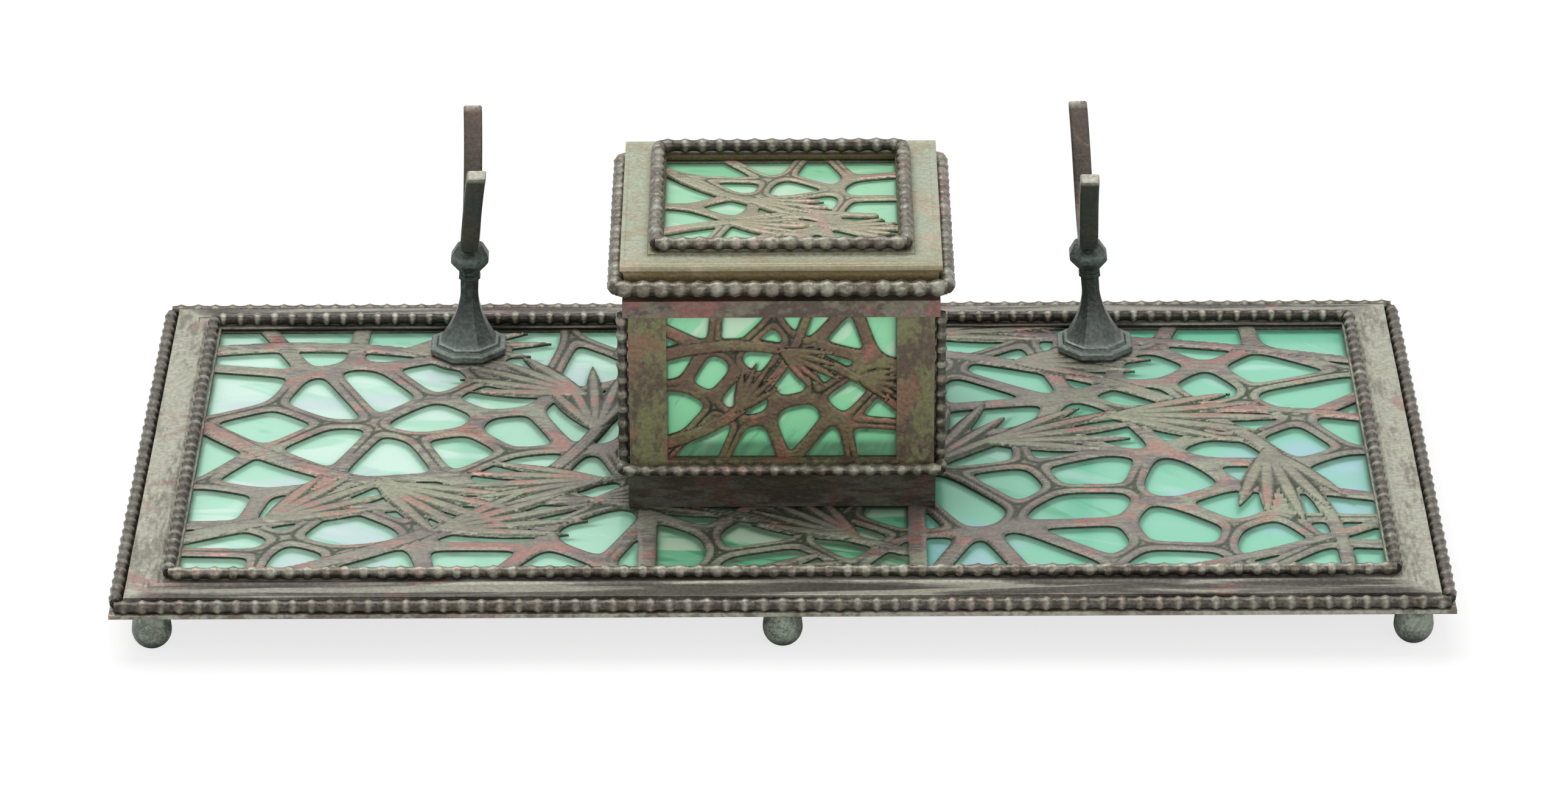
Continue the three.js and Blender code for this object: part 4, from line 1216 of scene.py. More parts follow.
@dataclass
class Tray:
    """The tray: frame, bead strings, pierced sheet, panes, bottom plate and ball feet."""

    length: float = 297.5
    depth: float = 158.5
    border: float = 11.2
    wall: float = 2.4
    rim_reach: float = 3.2
    rim_height: float = 1.15
    rim_lift: float = 0.85
    lip_reach: float = 0.5
    lip_height: float = 0.8
    ridge_inset: float = 6.4
    ridge_width: float = 0.8
    ridge_height: float = 0.3
    flange: float = 0.8
    bead_pitch: float = 4.25
    outer_bead: float = 3.5
    outer_drop: float = 1.45
    inner_bead: float = 3.4
    pattern_pitch: tuple[float, float] = (19.6, 15.1)
    bar: float = 4.2
    pane_seam: float = 31.0
    rest_spacing: float = 152.8
    rest_back: float = 56.0
    rest_pad: float = 10.6
    box_back: float = 3.5
    box_pad: float = 65.8
    plinth_shade_reach: float = 16.0
    sheet_cell: float = 0.6
    pane_cell: float = 0.9
    shade_reach: float = 1.9

    def build(self, frame: dict) -> None:
        """Build and dress the whole tray."""
        self.frame_piece()
        self.rim()
        self.beads()
        self.sheet()
        self.feet()
        dress(frame, PLINTH_BRONZE.material(), ["tray_bottom_plate"])

    def frame_piece(self) -> None:
        """Frame of one profile: bottom lip, wall, and a flange with a ridge line along its middle.

        Three points on the flats of the flange mark where the painted shade changes.
        """
        by_edge, by_ridge, past_ridge = 0.4, 1.4, 1.8
        bottom = corners_of("tray_frame")[0][2]
        top = corners_of("tray_frame")[1][2] - self.ridge_height
        inset, half_ridge = self.ridge_inset, self.ridge_width / 2
        crest = inset + half_ridge
        profile = np.array(
            [
                (self.lip_reach, bottom),
                (self.lip_reach, bottom + self.lip_height),
                (0, bottom + 1.3 * self.lip_height),
                (0, top),
                (-by_edge, top),
                (-inset + by_ridge, top),
                (-inset + half_ridge, top),
                (-crest + half_ridge / 2, top + self.ridge_height),
                (-crest - half_ridge / 2, top + self.ridge_height),
                (-crest - 2 * half_ridge, top),
                (-crest - past_ridge, top),
                (-self.border, top),
                (-self.border, top - self.flange),
                (-self.wall, top - self.flange),
                (-self.wall, bottom),
            ]
        )
        shell = ring_sweep(soften(profile, radius=0.3), self.length / 2, self.depth / 2, steps=40)
        shell.marks = self.frame_marks(shell.points, top)
        shell.points = uneven(shell.points, depth=0.05, wave=37)
        shell.points[:, 2] = np.clip(shell.points[:, 2], bottom, top + self.ridge_height)
        finish = TRAY_BRONZE.material()
        shell.piece("tray_frame_skin", finish, Body.STAND, Slot.VERDIGRIS, ["tray_frame"], crease=30)

    def frame_marks(self, points: np.ndarray, top: float) -> dict[str, np.ndarray]:
        """Painted shade at the foot of the ridge line, beside the inner beads, on the outer wall and in
        the recess under the sheet, and a browner cast along the front and back.

        Args:
            points: The frame's points.
            top: Height of its flange.

        Returns:
            The marks low, cast and tone.
        """
        x, y = np.abs(points[:, 0]) - self.length / 2, np.abs(points[:, 1]) - self.depth / 2
        inset = -np.maximum(x, y)
        foot = np.exp(-(((inset - self.ridge_inset - 0.4) / 0.8) ** 2)) * (points[:, 2] < top + 0.05)
        bead = np.exp(-(((inset - self.border + self.inner_bead) / 1.2) ** 2))
        wall = (points[:, 2] < top - 0.4) & (inset < 1)
        along = (y > x).astype(float)
        wave = 0.5 + 0.5 * np.sin(points[:, 0] / 23 + 1.5 * np.sin(points[:, 0] / 9))
        recess = (points[:, 2] < top - 0.3) & (inset > self.border - 0.3)
        # Painted shade: the ridge's foot, beside the inner beads, the outer wall and the recess.
        low = np.clip(0.78 * foot + 0.2 * bead + 0.55 * wall + 0.95 * recess, 0, 1)
        return {"low": low, "cast": along * (0.76 + 0.24 * wave), "tone": 0.1 + 0.9 * along}

    def rim(self) -> None:
        """Straight strip that the outer beads sit on."""
        out, bottom = self.rim_reach, corners_of("tray_frame")[0][2] + self.rim_lift
        top, sunk = bottom + self.rim_height, 0.4
        outline = [
            (-sunk, bottom),
            (out - 0.1, bottom),
            (out, bottom + 0.1),
            (out, top - 0.15),
            (out - 0.2, top),
            (-sunk, top),
        ]
        shell = ring_sweep(np.array(outline), self.length / 2, self.depth / 2, steps=60)
        # Painted shade: half over the strip under the beads, nearly full on its underside.
        shell.marks["low"] = np.where(shell.points[:, 2] < bottom + 0.05, 0.95, 0.5)
        shell.piece("tray_lower_rim", BEAD_BRONZE.material(), Body.STAND, Slot.VERDIGRIS, [])

    def shade_and_dirt(self, places: np.ndarray) -> np.ndarray:
        """Painted shadow of the box over the tray, with old polish and dust round the plinth, most against
        it.
        """
        away = np.maximum(np.abs(places[:, 0]), np.abs(places[:, 1] - self.box_back)) - self.box_pad / 2
        return np.exp(-np.clip(away, 0, None) / self.plinth_shade_reach)

    def panes(self, pattern: Pattern) -> None:
        """Panes under the pierced sheet, each of its own streaked glass."""
        finishes = {
            "left": LEFT_TRAY_GLASS,
            "right": RIGHT_TRAY_GLASS,
            "front": MIDDLE_TRAY_GLASS,
            "back": MIDDLE_TRAY_GLASS,
        }
        made = {finish.name: finish.material() for finish in finishes.values()}
        for side, finish in finishes.items():
            name = f"tray_glass_{side}"
            shell = pane(*corners_of(name), self.pane_cell, pattern, self.shade_reach)
            # Painted shadow of the box, with dust, darkens the glass round the plinth.
            shade_and_dirt = 0.8 * self.shade_and_dirt(shell.points[:, :2])
            shell.marks["near"] = np.maximum(shell.marks["near"], shade_and_dirt)
            shell.piece(f"{name}_pane", made[finish.name], Body.STAND, Slot.PALE_GLASS, [name])

    def beads(self) -> None:
        """Outer strings along the frame's faces and inner strings round the opening."""
        finish = BEAD_BRONZE.material()
        top = corners_of("tray_frame")[1][2] - self.ridge_height
        half_x, half_y = self.length / 2, self.depth / 2
        out = self.outer_bead / 2 + 0.15
        out_x, out_y = half_x + out, half_y + out
        low = top - self.outer_drop
        seat = self.border - self.inner_bead / 2
        high = top + self.inner_bead / 2 - 0.3
        in_x, in_y = half_x - seat, half_y - seat
        runs = {
            "front": ((-out_x, -out_y), (out_x, -out_y), (-in_x, -in_y), (in_x, -in_y)),
            "right": ((out_x, -half_y), (out_x, half_y), (in_x, -in_y), (in_x, in_y)),
            "back": ((out_x, out_y), (-out_x, out_y), (in_x, in_y), (-in_x, in_y)),
            "left": ((-out_x, half_y), (-out_x, -half_y), (-in_x, in_y), (-in_x, -in_y)),
        }
        # Painted shade on the inner strings, most on the back one, whose front faces away from the light.
        inner_string_shade = {"front": 0.0, "right": 0.2, "back": 0.3, "left": 0.24}
        for number, (side, (a, b, c, d)) in enumerate(runs.items()):
            outer = bead_string((*a, low), (*b, low), self.outer_bead, self.bead_pitch, seed=10 + number)
            outer.marks["tone"] = 0.6 + 0.4 * outer.marks["tone"]
            # Painted shade over all of each outer string, which faces away from the light.
            outer.marks["low"] = 0.46 + 0.48 * outer.marks["low"]
            name, node = f"outer_bead_string_{side}", f"outer_beads_{side}"
            outer.piece(name, finish, Body.STAND, Slot.VERDIGRIS, [node], crease=80)
            inner = bead_string((*c, high), (*d, high), self.inner_bead, self.bead_pitch, seed=20 + number)
            inner.marks["low"] = inner.marks["low"] + inner_string_shade[side]
            name, node = f"inner_bead_string_{side}", f"inner_beads_{side}"
            inner.piece(name, finish, Body.STAND, Slot.VERDIGRIS, [node], crease=80)

    def sheet(self) -> None:
        """Pierced sheet over the panes, solid under the pen rests and the box."""
        low, high = corners_of("tray_filigree")
        side = self.rest_spacing / 2
        pattern = Pattern(
            width=high[0] - low[0],
            depth=high[1] - low[1],
            open_width=self.length - 2 * self.border,
            open_depth=self.depth - 2 * self.border,
            pitch=self.pattern_pitch,
            bar=self.bar,
            phase=0.6,
            growth=TRAY_GROWTH,
            cell=self.sheet_cell,
            thickness=high[2] - low[2],
            pads=((-side, self.rest_back, self.rest_pad), (side, self.rest_back, self.rest_pad)),
            block=self.box_pad,
            block_y=self.box_back,
            seams=(-self.pane_seam, self.pane_seam),
        )
        finish = BAR_BRONZE.material()
        for part, start, end in (("left", low[0], 0.0), ("right", 0.0, high[0])):
            shell = pattern.shell(start, end)
            # Painted shadow of the box, with old polish and dust, makes the metal darker and browner round
            # the plinth.
            nearness = self.shade_and_dirt(shell.points[:, :2])
            shell.marks["low"] = np.clip(shell.marks["low"] + 0.46 * nearness, 0, 0.9)
            shell.marks["tone"] = np.clip(shell.marks["tone"] + 1.2 * nearness, 0, 1.6)
            shell.marks["cast"] = shell.marks["cast"] * (1 - nearness)
            shell.points[:, 2] += low[2]
            name = f"tray_pierced_sheet_{part}"
            shell.piece(name, finish, Body.STAND, Slot.BARS, ["tray_filigree"], crease=50)
        self.panes(pattern)

    def feet(self) -> None:
        """Ball feet with a flat underneath, full to the frame, with a thin collar against it."""
        finish, frame_bottom, flat_turn = FOOT_BRONZE.material(), corners_of("tray_frame")[0][2], 0.36
        neck_shares = [(0.96, 0.62), (0.92, 0.75), (0.91, 0.88), (0.97, 0.91), (0.97, 1.0), (0, 1.0)]
        places = [f"{end}_{side}" for end in ("front", "back") for side in ("left", "middle", "right")]
        for name in (f"foot_{place}" for place in places):
            low, high = corners_of(name)
            centre = (low + high) / 2
            radius = (high[0] - low[0]) / 2
            turns = np.linspace(-math.pi / 2 + flat_turn, 0.15, 11)
            middle = radius * math.cos(flat_turn)
            ball = np.stack([radius * np.cos(turns), middle + radius * np.sin(turns)], -1)
            neck = np.array(neck_shares) * [radius, frame_bottom]
            profile = np.concatenate([[[0, 0], [ball[0, 0], 0]], ball[1:], neck])
            shell = lathe(profile, (centre[0], centre[1], low[2]), sides=28)
            height = shell.points[:, 2] / frame_bottom
            # Painted shade: darker towards the bottom of each ball, and a dark ring at the collar.
            shell.marks["low"] = np.clip(1.0 - 1.9 * height, 0, 1) + 0.5 * (np.abs(height - 0.88) < 0.02)
            shell.piece(f"{name}_ball", finish, Body.STAND, Slot.VERDIGRIS, [name], crease=45)


@dataclass
class PenRest:
    """One pen rest: an eight-sided post on a foot ring, and a lyre fork, bent as the real one is."""

    side: str
    x: float
    post_lean: float
    lean: float
    twist: float
    nod: float
    y: float = 56.0
    foot: float = 14.0
    ring_radius: float = 9.8
    ring_height: float = 2.6
    flare_radius: float = 7.8
    neck_radius: float = 2.3
    knop_radius: float = 4.9
    knop_height: float = 24.9
    knop_half: float = 3.4
    reach: float = 21.3
    rise: float = 25.3
    bar_width: float = 4.5
    bar_thickness: float = 3.6
    taper: float = 0.25

    def leaned(self, points: np.ndarray) -> np.ndarray:
        """Lean points to the side in step with their height above the foot, then set them in place."""
        height = np.maximum(0, points[:, 2])
        moved = points.copy()
        moved[:, 0] += self.post_lean * height / self.knop_height
        return moved + [self.x, self.y, self.foot]

    def build(self, frame: dict) -> None:
        """Build the post and the fork, and dress the nut under the sheet."""
        self.post()
        self.fork()
        dress(frame, INNER_STEEL.material(), [f"pen_rest_nut_{self.side}"])

    def post(self) -> None:
        """Stacked profile: foot ring, rim, flared column, neck, collars, knop and the fork's seat.

        The column's radius falls from the rim to the neck by a power of the share of height that
        is left.
        """
        ring, rise, neck = self.ring_radius, self.ring_height, self.neck_radius
        knop, high, sides = self.knop_radius, self.knop_height, 64
        seat, column_height = high + self.knop_half, 12.5
        left = np.linspace(1, 0, 15)[:, None]
        column_radius = neck + (self.flare_radius - 0.6 - neck) * left**1.75
        column = np.hstack([column_radius, rise + 0.55 + column_height * (1 - left)])
        foot = [
            (0, 0),
            (ring - 0.8, 0),
            (ring, 0.7),
            (ring, 1.9),
            (ring - 0.35, 2.25),
            (self.flare_radius + 0.6, 2.35),
            (self.flare_radius + 0.25, 2.15),
            (self.flare_radius, 2.4),
            (self.flare_radius - 0.05, rise + 0.25),
            (self.flare_radius - 0.35, rise + 0.5),
        ]
        head = [
            (neck + 0.05, 19.1),
            (neck + 0.5, 19.5),
            (neck + 0.5, 20.1),
            (neck + 0.15, 20.4),
            (neck + 0.4, 20.8),
            (neck + 0.4, 21.4),
            (knop - 0.55, high - 1.6),
            (knop, high - 0.85),
            (knop, high + 0.6),
            (knop - 0.35, high + 1.15),
            (3.25, seat - 0.15),
            (3.0, seat),
            (0, seat),
        ]
        profile = np.concatenate([foot, column, head])
        shell = lathe(profile, (0, 0, 0), sides, facets=0.94)
        height, reach = np.repeat(profile[:, 1], sides), np.repeat(profile[:, 0], sides)
        # Painted highlight: paler rim, lower flare and knop edge, with a paler foot ring, by the mark cast.
        rim = 0.75 * np.exp(-(((height - rise - 0.3) / 0.35) ** 2)) + 0.8 * (reach > ring - 1.2)
        rim = rim + 0.4 * np.clip(1 - (height - rise) / 9, 0, 1) + 0.45 * (np.abs(height - high) < 0.9)
        # Painted shade in the groove under the rim and at the collars.
        crease = np.exp(-(((height - 2.15) / 0.12) ** 2)) + np.exp(-(((height - 20.4) / 0.2) ** 2))
        shell.marks = {"low": np.clip(0.85 * crease, 0, 1), "cast": np.clip(rim, 0, 0.8)}
        shell.points = self.leaned(shell.points)
        name, node = f"pen_rest_post_{self.side}", f"pen_rest_stand_{self.side}"
        shell.piece(name, REST_BRONZE.material(), Body.STAND, Slot.REST, [node], crease=36)

    def fork(self) -> None:
        """Carry a rounded oblong section along the lyre curve and bend it.

        Half of the curve is a cubic with the control points of the solid. The section lies
        square to it, narrows towards the tips, and closes in a slightly rounded end.
        """
        knots = np.array([(0, 0), (0.78, -0.02), (0.52, 0.5), (1, 1)]) * [self.reach, self.rise]
        t = np.linspace(0, 1, 26)[:, None]
        left = 1 - t
        half = knots[0] * left**3 + 3 * knots[1] * t * left**2 + 3 * knots[2] * t**2 * left + knots[3] * t**3
        line = np.concatenate([half[:0:-1] * [-1, 1], half]) + [0, self.bar_thickness / 2]
        share = np.concatenate([t[:0:-1, 0], t[:, 0]])
        slope = np.gradient(line, axis=0)
        slope /= np.linalg.norm(slope, axis=1, keepdims=True)
        across = np.stack([-slope[:, 1], slope[:, 0]], -1)
        thick = self.bar_thickness / 2 * (1 - self.taper * share)
        square = np.array([(-1, -1), (1, -1), (1, 1), (-1, 1)], float)
        section = soften(square, radius=0.32, steps=4)
        order = np.concatenate([[0, 0], np.arange(len(line)), [len(line) - 1] * 2])
        size = np.concatenate([[0, 0.86], np.ones(len(line)), [0.86, 0]])
        inside = np.zeros(len(order))
        inside[[2, -3]] = 0.35, -0.35
        spine = line[order] + slope[order] * inside[:, None]
        x = section[None, :, 0] * (self.bar_width / 2 * size)[:, None]
        lift = section[None, :, 1] * (thick[order] * size)[:, None]
        plane = spine[:, None] + across[order][:, None] * lift[..., None]
        points = np.concatenate([x[..., None], plane], -1).reshape(-1, 3)
        up = np.maximum(0, points[:, 2]) / self.rise
        bent = points.copy()
        bent[:, 0] += up * (self.lean + self.twist * points[:, 1] / self.reach)
        bent[:, 1] -= up * self.nod
        bent[:, 2] += up * self.nod * points[:, 1] / self.rise + self.knop_height + self.knop_half
        row = np.arange(len(order))[:, None]
        # Painted highlight on the tips, by the mark cast, and painted shade along both flanks.
        tip = np.broadcast_to(np.minimum(row, len(order) - 1 - row) < 3, lift.shape)
        inner = np.broadcast_to(section[:, 1] > 0.3, lift.shape)
        shaded_flank = (np.abs(section[:, 0]) > 0.93) & ~tip
        marks = {"tone": inner.ravel().astype(float), "cast": 0.8 * tip.ravel(), "low": 0.78 * shaded_flank.ravel()}
        shell = Shell(self.leaned(bent), grid_faces(len(order), len(section)), marks)
        name, node = f"pen_rest_lyre_{self.side}", f"pen_rest_fork_{self.side}"
        shell.piece(name, FORK_BRONZE.material(), Body.STAND, Slot.REST, [node], crease=42)


@dataclass
class InkBox:
    """The inkwell box below its lid: plinth, tube, rail, pierced sides, panes, beads and liner."""

    centre_y: float = 3.5
    body_half: float = 35.15
    base_bead: float = 3.2
    column_bead: float = 3.0
    pitch: float = 3.6
    window: float = 53.0
    sill_lap: float = 1.6
    pattern_pitch: tuple[float, float] = (8.8, 9.3)
    bar: float = 2.9
    side_names: tuple[str, ...] = ("front", "right", "back", "left")
    sheet_cell: float = 0.34
    pane_cell: float = 0.6
    pane_half: float = 1.1
    shade_reach: float = 1.0

    def build(self, frame: dict) -> None:
        """Build and dress the box."""
        bars, glass = BOX_BAR_BRONZE.material(), BOX_GLASS.material()
        for number, side in enumerate(self.side_names):
            self.panel(number, side, bars, glass)
        self.beads()
        self.liner()
        dress(frame, BOX_BRONZE.material(), ["box_body"])
        dress(frame, RAIL_BRONZE.material(), ["box_top_rail", "collar_plate", "hinge_body_leaf"])
        dress(frame, PLINTH_BRONZE.material(), ["box_plinth"])
        dress(frame, INNER_STEEL.material(), ["box_screw_left", "box_screw_right", "hinge_pin"])

    def upright(self, flat: np.ndarray, number: int, node: str) -> np.ndarray:
        """Stand a flat piece up, turn it to its side of the box and centre it on its solid.

        Args:
            flat: Points, with the face that shows upwards.
            number: Quarter turns from the front.
            node: The solid.

        Returns:
            The points in place.
        """
        stood = np.stack([flat[:, 0], -flat[:, 2], flat[:, 1]], -1)
        turn = number * math.pi / 2
        spin = np.array([[math.cos(turn), -math.sin(turn)], [math.sin(turn), math.cos(turn)]])
        stood[:, :2] = stood[:, :2] @ spin.T
        low, high = corners_of(node)
        return stood + (low + high) / 2 - (stood.min(0) + stood.max(0)) / 2

    def foot_band(self, up: np.ndarray, height: float) -> np.ndarray:
        """A share that rises towards the foot of a panel, at points that lie so far up from its middle:
        browner bars and darker glass there.
        """
        start = -0.15 * height - self.sill_lap
        return np.clip((start - up) / (0.2 * height), 0, 1) ** 2

    def panel(self, number: int, side: str, bars: bpy.types.Material, glass: bpy.types.Material) -> None:
        """Pierced side panel and the pane behind it."""
        node = f"box_filigree_{side}"
        low, high = corners_of(node)
        size = high - low
        wide, thick = (size[0], size[1]) if number % 2 == 0 else (size[1], size[0])
        pattern = Pattern(
            width=wide,
            depth=size[2],
            open_width=self.window,
            open_depth=size[2] - 2 * self.sill_lap,
            pitch=self.pattern_pitch,
            bar=self.bar,
            phase=1.0 + number,
            growth=BOX_GROWTH,
            cell=self.sheet_cell,
            thickness=thick,
        )
        shell = pattern.shell(-wide / 2, wide / 2)
        shell.marks["cast"] = np.maximum(shell.marks["cast"], self.foot_band(shell.points[:, 1], size[2]))
        shell.points = self.upright(shell.points, number, node)
        shell.piece(f"box_pierced_{side}", bars, Body.STAND, Slot.BARS, [node], crease=50)
        node = f"box_glass_{side}"
        corner = np.array([wide / 2, size[2] / 2, self.pane_half])
        shell = pane(-corner, corner, self.pane_cell, pattern, self.shade_reach)
        shell.marks["near"] = np.maximum(shell.marks["near"], 0.85 * self.foot_band(shell.points[:, 1], size[2]))
        shell.points = self.upright(shell.points, number, node)
        shell.piece(f"{node}_pane", glass, Body.STAND, Slot.GREEN_GLASS, [node])

    def beads(self) -> None:
        """String round the base and a column of beads at each corner."""
        finish = BEAD_BRONZE.material()
        low, high = corners_of("box_base_beads")
        half = self.body_half + self.base_bead / 2
        level = (low[2] + high[2]) / 2
        base = bead_loop(half, self.centre_y, level, self.base_bead, self.pitch, seed=40)
        base.piece("base_bead_string", finish, Body.STAND, Slot.VERDIGRIS, ["box_base_beads"], crease=80)
        places = [f"{end}_{side}" for end in ("front", "back") for side in ("left", "right")]
        for number, place in enumerate(places):
            name, node = f"corner_bead_column_{place}", f"corner_beads_{place}"
            low, high = corners_of(node)
            x, y = (low[:2] + high[:2]) / 2
            ends = (x, y, low[2]), (x, y, high[2])
            column = bead_string(*ends, self.column_bead, self.pitch, seed=50 + number)
            column.piece(name, finish, Body.STAND, Slot.VERDIGRIS, [node], crease=80)

    def liner(self) -> None:
        """Moulded ink liner: bevelled floor, straight wall and a rim rounded over the collar plate."""
        low, high = corners_of("ink_liner")
        rim, wall, inside, floor, rim_depth = 27.4, 24.4, 21.4, 3.0, 2.2
        top, rim_bottom = high[2], high[2] - rim_depth
        outline = np.array(
            [
                (wall - floor, low[2]),
                (wall, low[2] + floor),
                (wall, rim_bottom),
                (rim, rim_bottom),
                (rim, top),
                (inside, top),
                (inside, low[2] + 2 * floor),
                (inside - floor, low[2] + floor),
            ]
        )
        rounded = soften(outline, radius=0.7, steps=5)
        profile = np.concatenate([[[0, low[2]]], rounded[2:-2], [[0, low[2] + floor]]])
        shell = lathe(profile, (0, self.centre_y, 0), sides=72)
        finish = LINER_GLASS.material()
        shell.piece("ink_liner_moulding", finish, Body.LINER, Slot.CLEAR_GLASS, ["ink_liner"], crease=35)


@dataclass
class Lid:
    """The lid: frame with cove and seat, bead strings, pierced sheet, pane, lining and leaf."""

    centre_y: float = 3.5
    half: float = 36.85
    flange_half: float = 36.0
    opening: float = 54.0
    recess_half: float = 32.4
    seat_width: float = 3.6
    seat_height: float = 0.4
    edge: float = 1.3
    cove: float = 1.7
    flange_bead: float = 4.2
    inner_bead: float = 3.6
    pitch: float = 4.25
    pattern_pitch: tuple[float, float] = (10.8, 10.8)
    bar: float = 2.9
    sheet_cell: float = 0.36
    pane_cell: float = 0.6
    shade_reach: float = 1.1

    def build(self, frame: dict) -> None:
        """Build and dress the lid."""
        self.frame_piece()
        self.beads()
        self.sheet()
        dress(frame, RAIL_BRONZE.material(), ["lid_lining", "hinge_lid_leaf"])

    def frame_piece(self) -> None:
        """Frame of one profile: bead flange, hollow cove, edge with a thin line, and the bead seat."""
        low, high = corners_of("lid_frame")
        bottom, seat_top = low[2], high[2]
        top = seat_top - self.seat_height
        edge_low, cove_low = top - self.edge, top - self.edge - self.cove
        inset = self.half - self.flange_half
        turns = np.linspace(0, math.pi / 2, 6)[1:-1]
        hollow = np.stack([-inset * np.cos(turns), edge_low - self.cove * (1 - np.sin(turns))], -1)
        seat_out = self.half - self.opening / 2 - self.seat_width
        opening_in = self.half - self.opening / 2
        recess, plate, line_depth = self.half - self.recess_half, 0.8, 0.12
        line = [(-0.9, top), (-1.1, top - line_depth), (-1.5, top - line_depth), (-1.7, top)]
        outline = [
            (-inset, bottom),
            (-inset, cove_low),
            *hollow,
            (0, edge_low),
            (0, top),
            *line,
            (-seat_out, top),
            (-seat_out, seat_top),
            (-opening_in, seat_top),
            (-opening_in, top - plate),
            (-recess, top - plate),
            (-recess, bottom),
        ]
        profile = soften(np.array(outline), radius=0.22)
        shell = ring_sweep(profile, self.half, self.half, self.centre_y, steps=16)
        height = shell.points[:, 2]
        reach = np.maximum(np.abs(shell.points[:, 0]), np.abs(shell.points[:, 1] - self.centre_y))
        side = reach > self.half - inset - 0.3
        front = np.clip((-(shell.points[:, 1] - self.centre_y) - self.half + 5.5) / 2, 0, 1)
        below = np.clip((top - 0.2 - height) / 2.2, 0, 1) * side
        seat = np.abs(self.half - seat_out - reach)
        inner_edge = reach < self.opening / 2 + 0.3
        # Painted shade under the edge on the outer sides, in the groove beside the seat and on the inner
        # wall of the opening.
        shade_and_dirt = 0.75 * np.clip((edge_low - height) / 2, 0, 1) * side
        shade_and_dirt = shade_and_dirt + 0.7 * np.exp(-((seat / 0.5) ** 2)) + 0.95 * inner_edge
        shell.marks = {
            "low": np.clip(shade_and_dirt, 0, 1),
            "cast": np.clip(0.3 * front + 0.9 * below, 0, 1),
            "tone": 0.8 * front,
        }
        shell.points = uneven(shell.points, depth=0.04, wave=31)
        shell.points[:, 2] = np.clip(shell.points[:, 2], bottom, seat_top)
        finish = LID_BRONZE.material()
        shell.piece("lid_frame_skin", finish, Body.LID, Slot.VERDIGRIS, ["lid_frame"], crease=30)

    def beads(self) -> None:
        """String round the flange and string round the pierced sheet."""
        finish = BEAD_BRONZE.material()
        low, high = corners_of("lid_flange_beads")
        half = self.flange_half + self.flange_bead / 2 - 0.25
        level = (low[2] + high[2]) / 2
        flange = bead_loop(half, self.centre_y, level, self.flange_bead, self.pitch, seed=60)
        name, node = "lid_flange_bead_string", "lid_flange_beads"
        flange.piece(name, finish, Body.LID, Slot.VERDIGRIS, [node], crease=80)
        low, high = corners_of("lid_inner_beads")
        half = (self.opening + self.seat_width) / 2
        level = (low[2] + high[2]) / 2
        inner = bead_loop(half, self.centre_y, level, self.inner_bead, self.pitch, seed=70)
        back = inner.points[:, 1] > self.centre_y + half - self.inner_bead / 2
        # Painted shade on the back string, whose front faces away from the light.
        inner.marks["low"] = np.where(back, 0.45 + 0.6 * inner.marks["low"], inner.marks["low"])
        name, node = "lid_inner_bead_string", "lid_inner_beads"
        inner.piece(name, finish, Body.LID, Slot.VERDIGRIS, [node], crease=80)

    def sheet(self) -> None:
        """Pierced sheet set into the lid's opening."""
        low, high = corners_of("lid_filigree")
        pattern = Pattern(
            width=high[0] - low[0],
            depth=high[1] - low[1],
            open_width=self.opening,
            open_depth=self.opening,
            pitch=self.pattern_pitch,
            bar=self.bar,
            phase=2.2,
            growth=LID_GROWTH,
            cell=self.sheet_cell,
            thickness=high[2] - low[2],
        )
        shell = pattern.shell(low[0], high[0])
        shell.points += [0, self.centre_y, low[2]]
        finish = LID_BAR_BRONZE.material()
        shell.piece("lid_pierced_sheet", finish, Body.LID, Slot.BARS, ["lid_filigree"], crease=50)
        middle = (0, self.centre_y)
        shell = pane(*corners_of("lid_glass"), self.pane_cell, pattern, self.shade_reach, middle)
        shell.piece("lid_glass_pane", LID_GLASS.material(), Body.LID, Slot.GREEN_GLASS, ["lid_glass"])


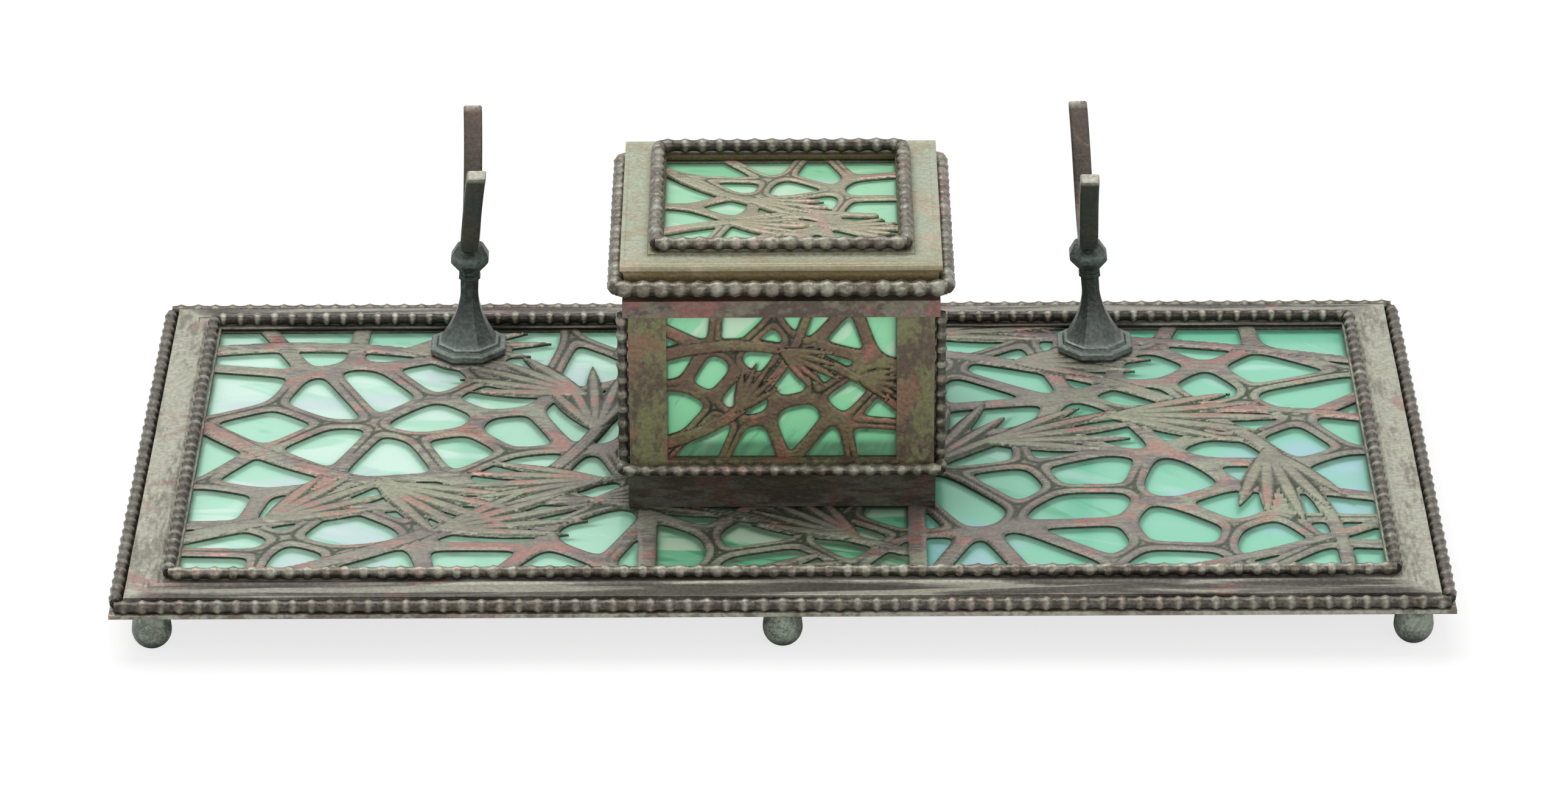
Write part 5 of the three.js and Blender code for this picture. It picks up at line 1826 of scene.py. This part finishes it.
@dataclass
class Studio:
    """The photograph's camera, a pale floor and soft light from above."""

    focal_px: float = 10916.55
    image_width_px: float = 2576.0
    sensor_mm: float = 36.0
    pitch_deg: float = 25.054
    roll_deg: float = -0.246
    place_mm: tuple[float, float, float] = (0.51, -1417.94, 689.26)
    world_light: float = 0.55
    shadow_lift: float = 0.75
    floor_half: float = 12.0

    def build(self) -> None:
        """Set up camera, world, floor and lamps."""
        self.camera()
        self.world()
        self.floor()
        self.lamp("top_light", (-0.25, 0.35, 1.5), target=(0, 0, 0.02), size=1.3, power=20.0)
        self.lamp("front_fill", (0.5, -1.5, 0.9), target=(0, 0, 0.03), size=1.2, power=7.0)

    def camera(self) -> None:
        """Camera that looks along +Y and down, rolled slightly, with the photograph's focal length."""
        pitch, roll = math.radians(self.pitch_deg), math.radians(self.roll_deg)
        ahead = np.array([0, math.cos(pitch), -math.sin(pitch)])
        level, over = np.array([1.0, 0, 0]), np.array([0, math.sin(pitch), math.cos(pitch)])
        right = math.cos(roll) * level + math.sin(roll) * over
        up = -math.sin(roll) * level + math.cos(roll) * over
        data = bpy.data.cameras.new("photo_camera")
        data.sensor_width = self.sensor_mm
        data.lens = self.focal_px / self.image_width_px * self.sensor_mm
        made = bpy.data.objects.new("photo_camera", data)
        turned = np.eye(4)
        turned[:3, 0], turned[:3, 1], turned[:3, 2] = right, up, -ahead
        turned[:3, 3] = np.array(self.place_mm) * MM
        made.matrix_world = Matrix(turned.tolist())
        data.clip_start, data.clip_end = 0.05, 50
        bpy.context.scene.collection.objects.link(made)
        bpy.context.scene.camera = made

    def world(self) -> None:
        """World that is white to the eye and to gloss and glass, and a soft grey as a light."""
        world = bpy.data.worlds.new("studio")
        bpy.context.scene.world = world
        world.use_nodes = True
        bench = Bench(world.node_tree)
        kinds = ("Camera", "Glossy", "Transmission")
        rays = [bench.node("ShaderNodeLightPath", {}, {}, f"Is {kind} Ray") for kind in kinds]
        seen = (rays[0] + rays[1] + rays[2]).clipped()
        background = bench.tree.nodes["Background"]
        bench.feed(background.inputs["Strength"], seen * (1 - self.world_light) + self.world_light)
        bench.feed(background.inputs["Color"], "ffffff")

    def floor(self) -> None:
        """Wide pale floor that runs off past the view."""
        bench = MaterialBench("studio_floor")
        grain = bench.noise(size_mm=60, detail=2)
        seen = bench.node("ShaderNodeLightPath", {}, {}, "Is Camera Ray")
        pale = bench.mix(grain * 0.3, "fbfbfa", "f6f6f5")
        bench.set(Base_Color=bench.mix(seen * self.shadow_lift, pale, "000000"), Roughness=0.9)
        bench.set(Emission_Color=bench.mix(seen, "000000", "ffffff"), Emission_Strength=self.shadow_lift)
        flat, faces = flat_grid((-self.floor_half, -self.floor_half), (self.floor_half, self.floor_half), 1)
        mesh = bpy.data.meshes.new("studio_floor")
        mesh.from_pydata(np.insert(flat, 2, 0, 1).tolist(), [], faces.tolist())
        mesh.materials.append(bench.material)
        made = bpy.data.objects.new("studio_floor", mesh)
        bpy.context.scene.collection.objects.link(made)

    def lamp(self, name: str, place: tuple, target: tuple, size: float, power: float) -> None:
        """Square soft lamp at a place, turned to a target."""
        data = bpy.data.lights.new(name, "AREA")
        data.shape, data.size, data.energy = "SQUARE", size, power
        made = bpy.data.objects.new(name, data)
        away = np.array(place, float) - np.array(target, float)
        away /= np.linalg.norm(away)
        side = np.cross([0, 1, 0], away)
        side /= np.linalg.norm(side)
        turned = np.eye(4)
        turned[:3, 0], turned[:3, 1], turned[:3, 2], turned[:3, 3] = side, np.cross(away, side), away, place
        made.matrix_world = Matrix(turned.tolist())
        bpy.context.scene.collection.objects.link(made)


def main() -> None:
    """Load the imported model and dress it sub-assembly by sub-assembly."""
    logging.basicConfig(level=logging.INFO, format="%(name)s: %(message)s")
    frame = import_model()
    bpy.context.scene.view_settings.view_transform = "Standard"
    Studio().build()
    Tray().build(frame)
    PenRest("left", x=-76.4, post_lean=0.95, lean=0.65, twist=-1.25, nod=0).build(frame)
    PenRest("right", x=76.4, post_lean=-2.05, lean=0.9, twist=-0.5, nod=1.15).build(frame)
    InkBox().build(frame)
    Lid().build(frame)


if __name__ == "__main__":
    main()
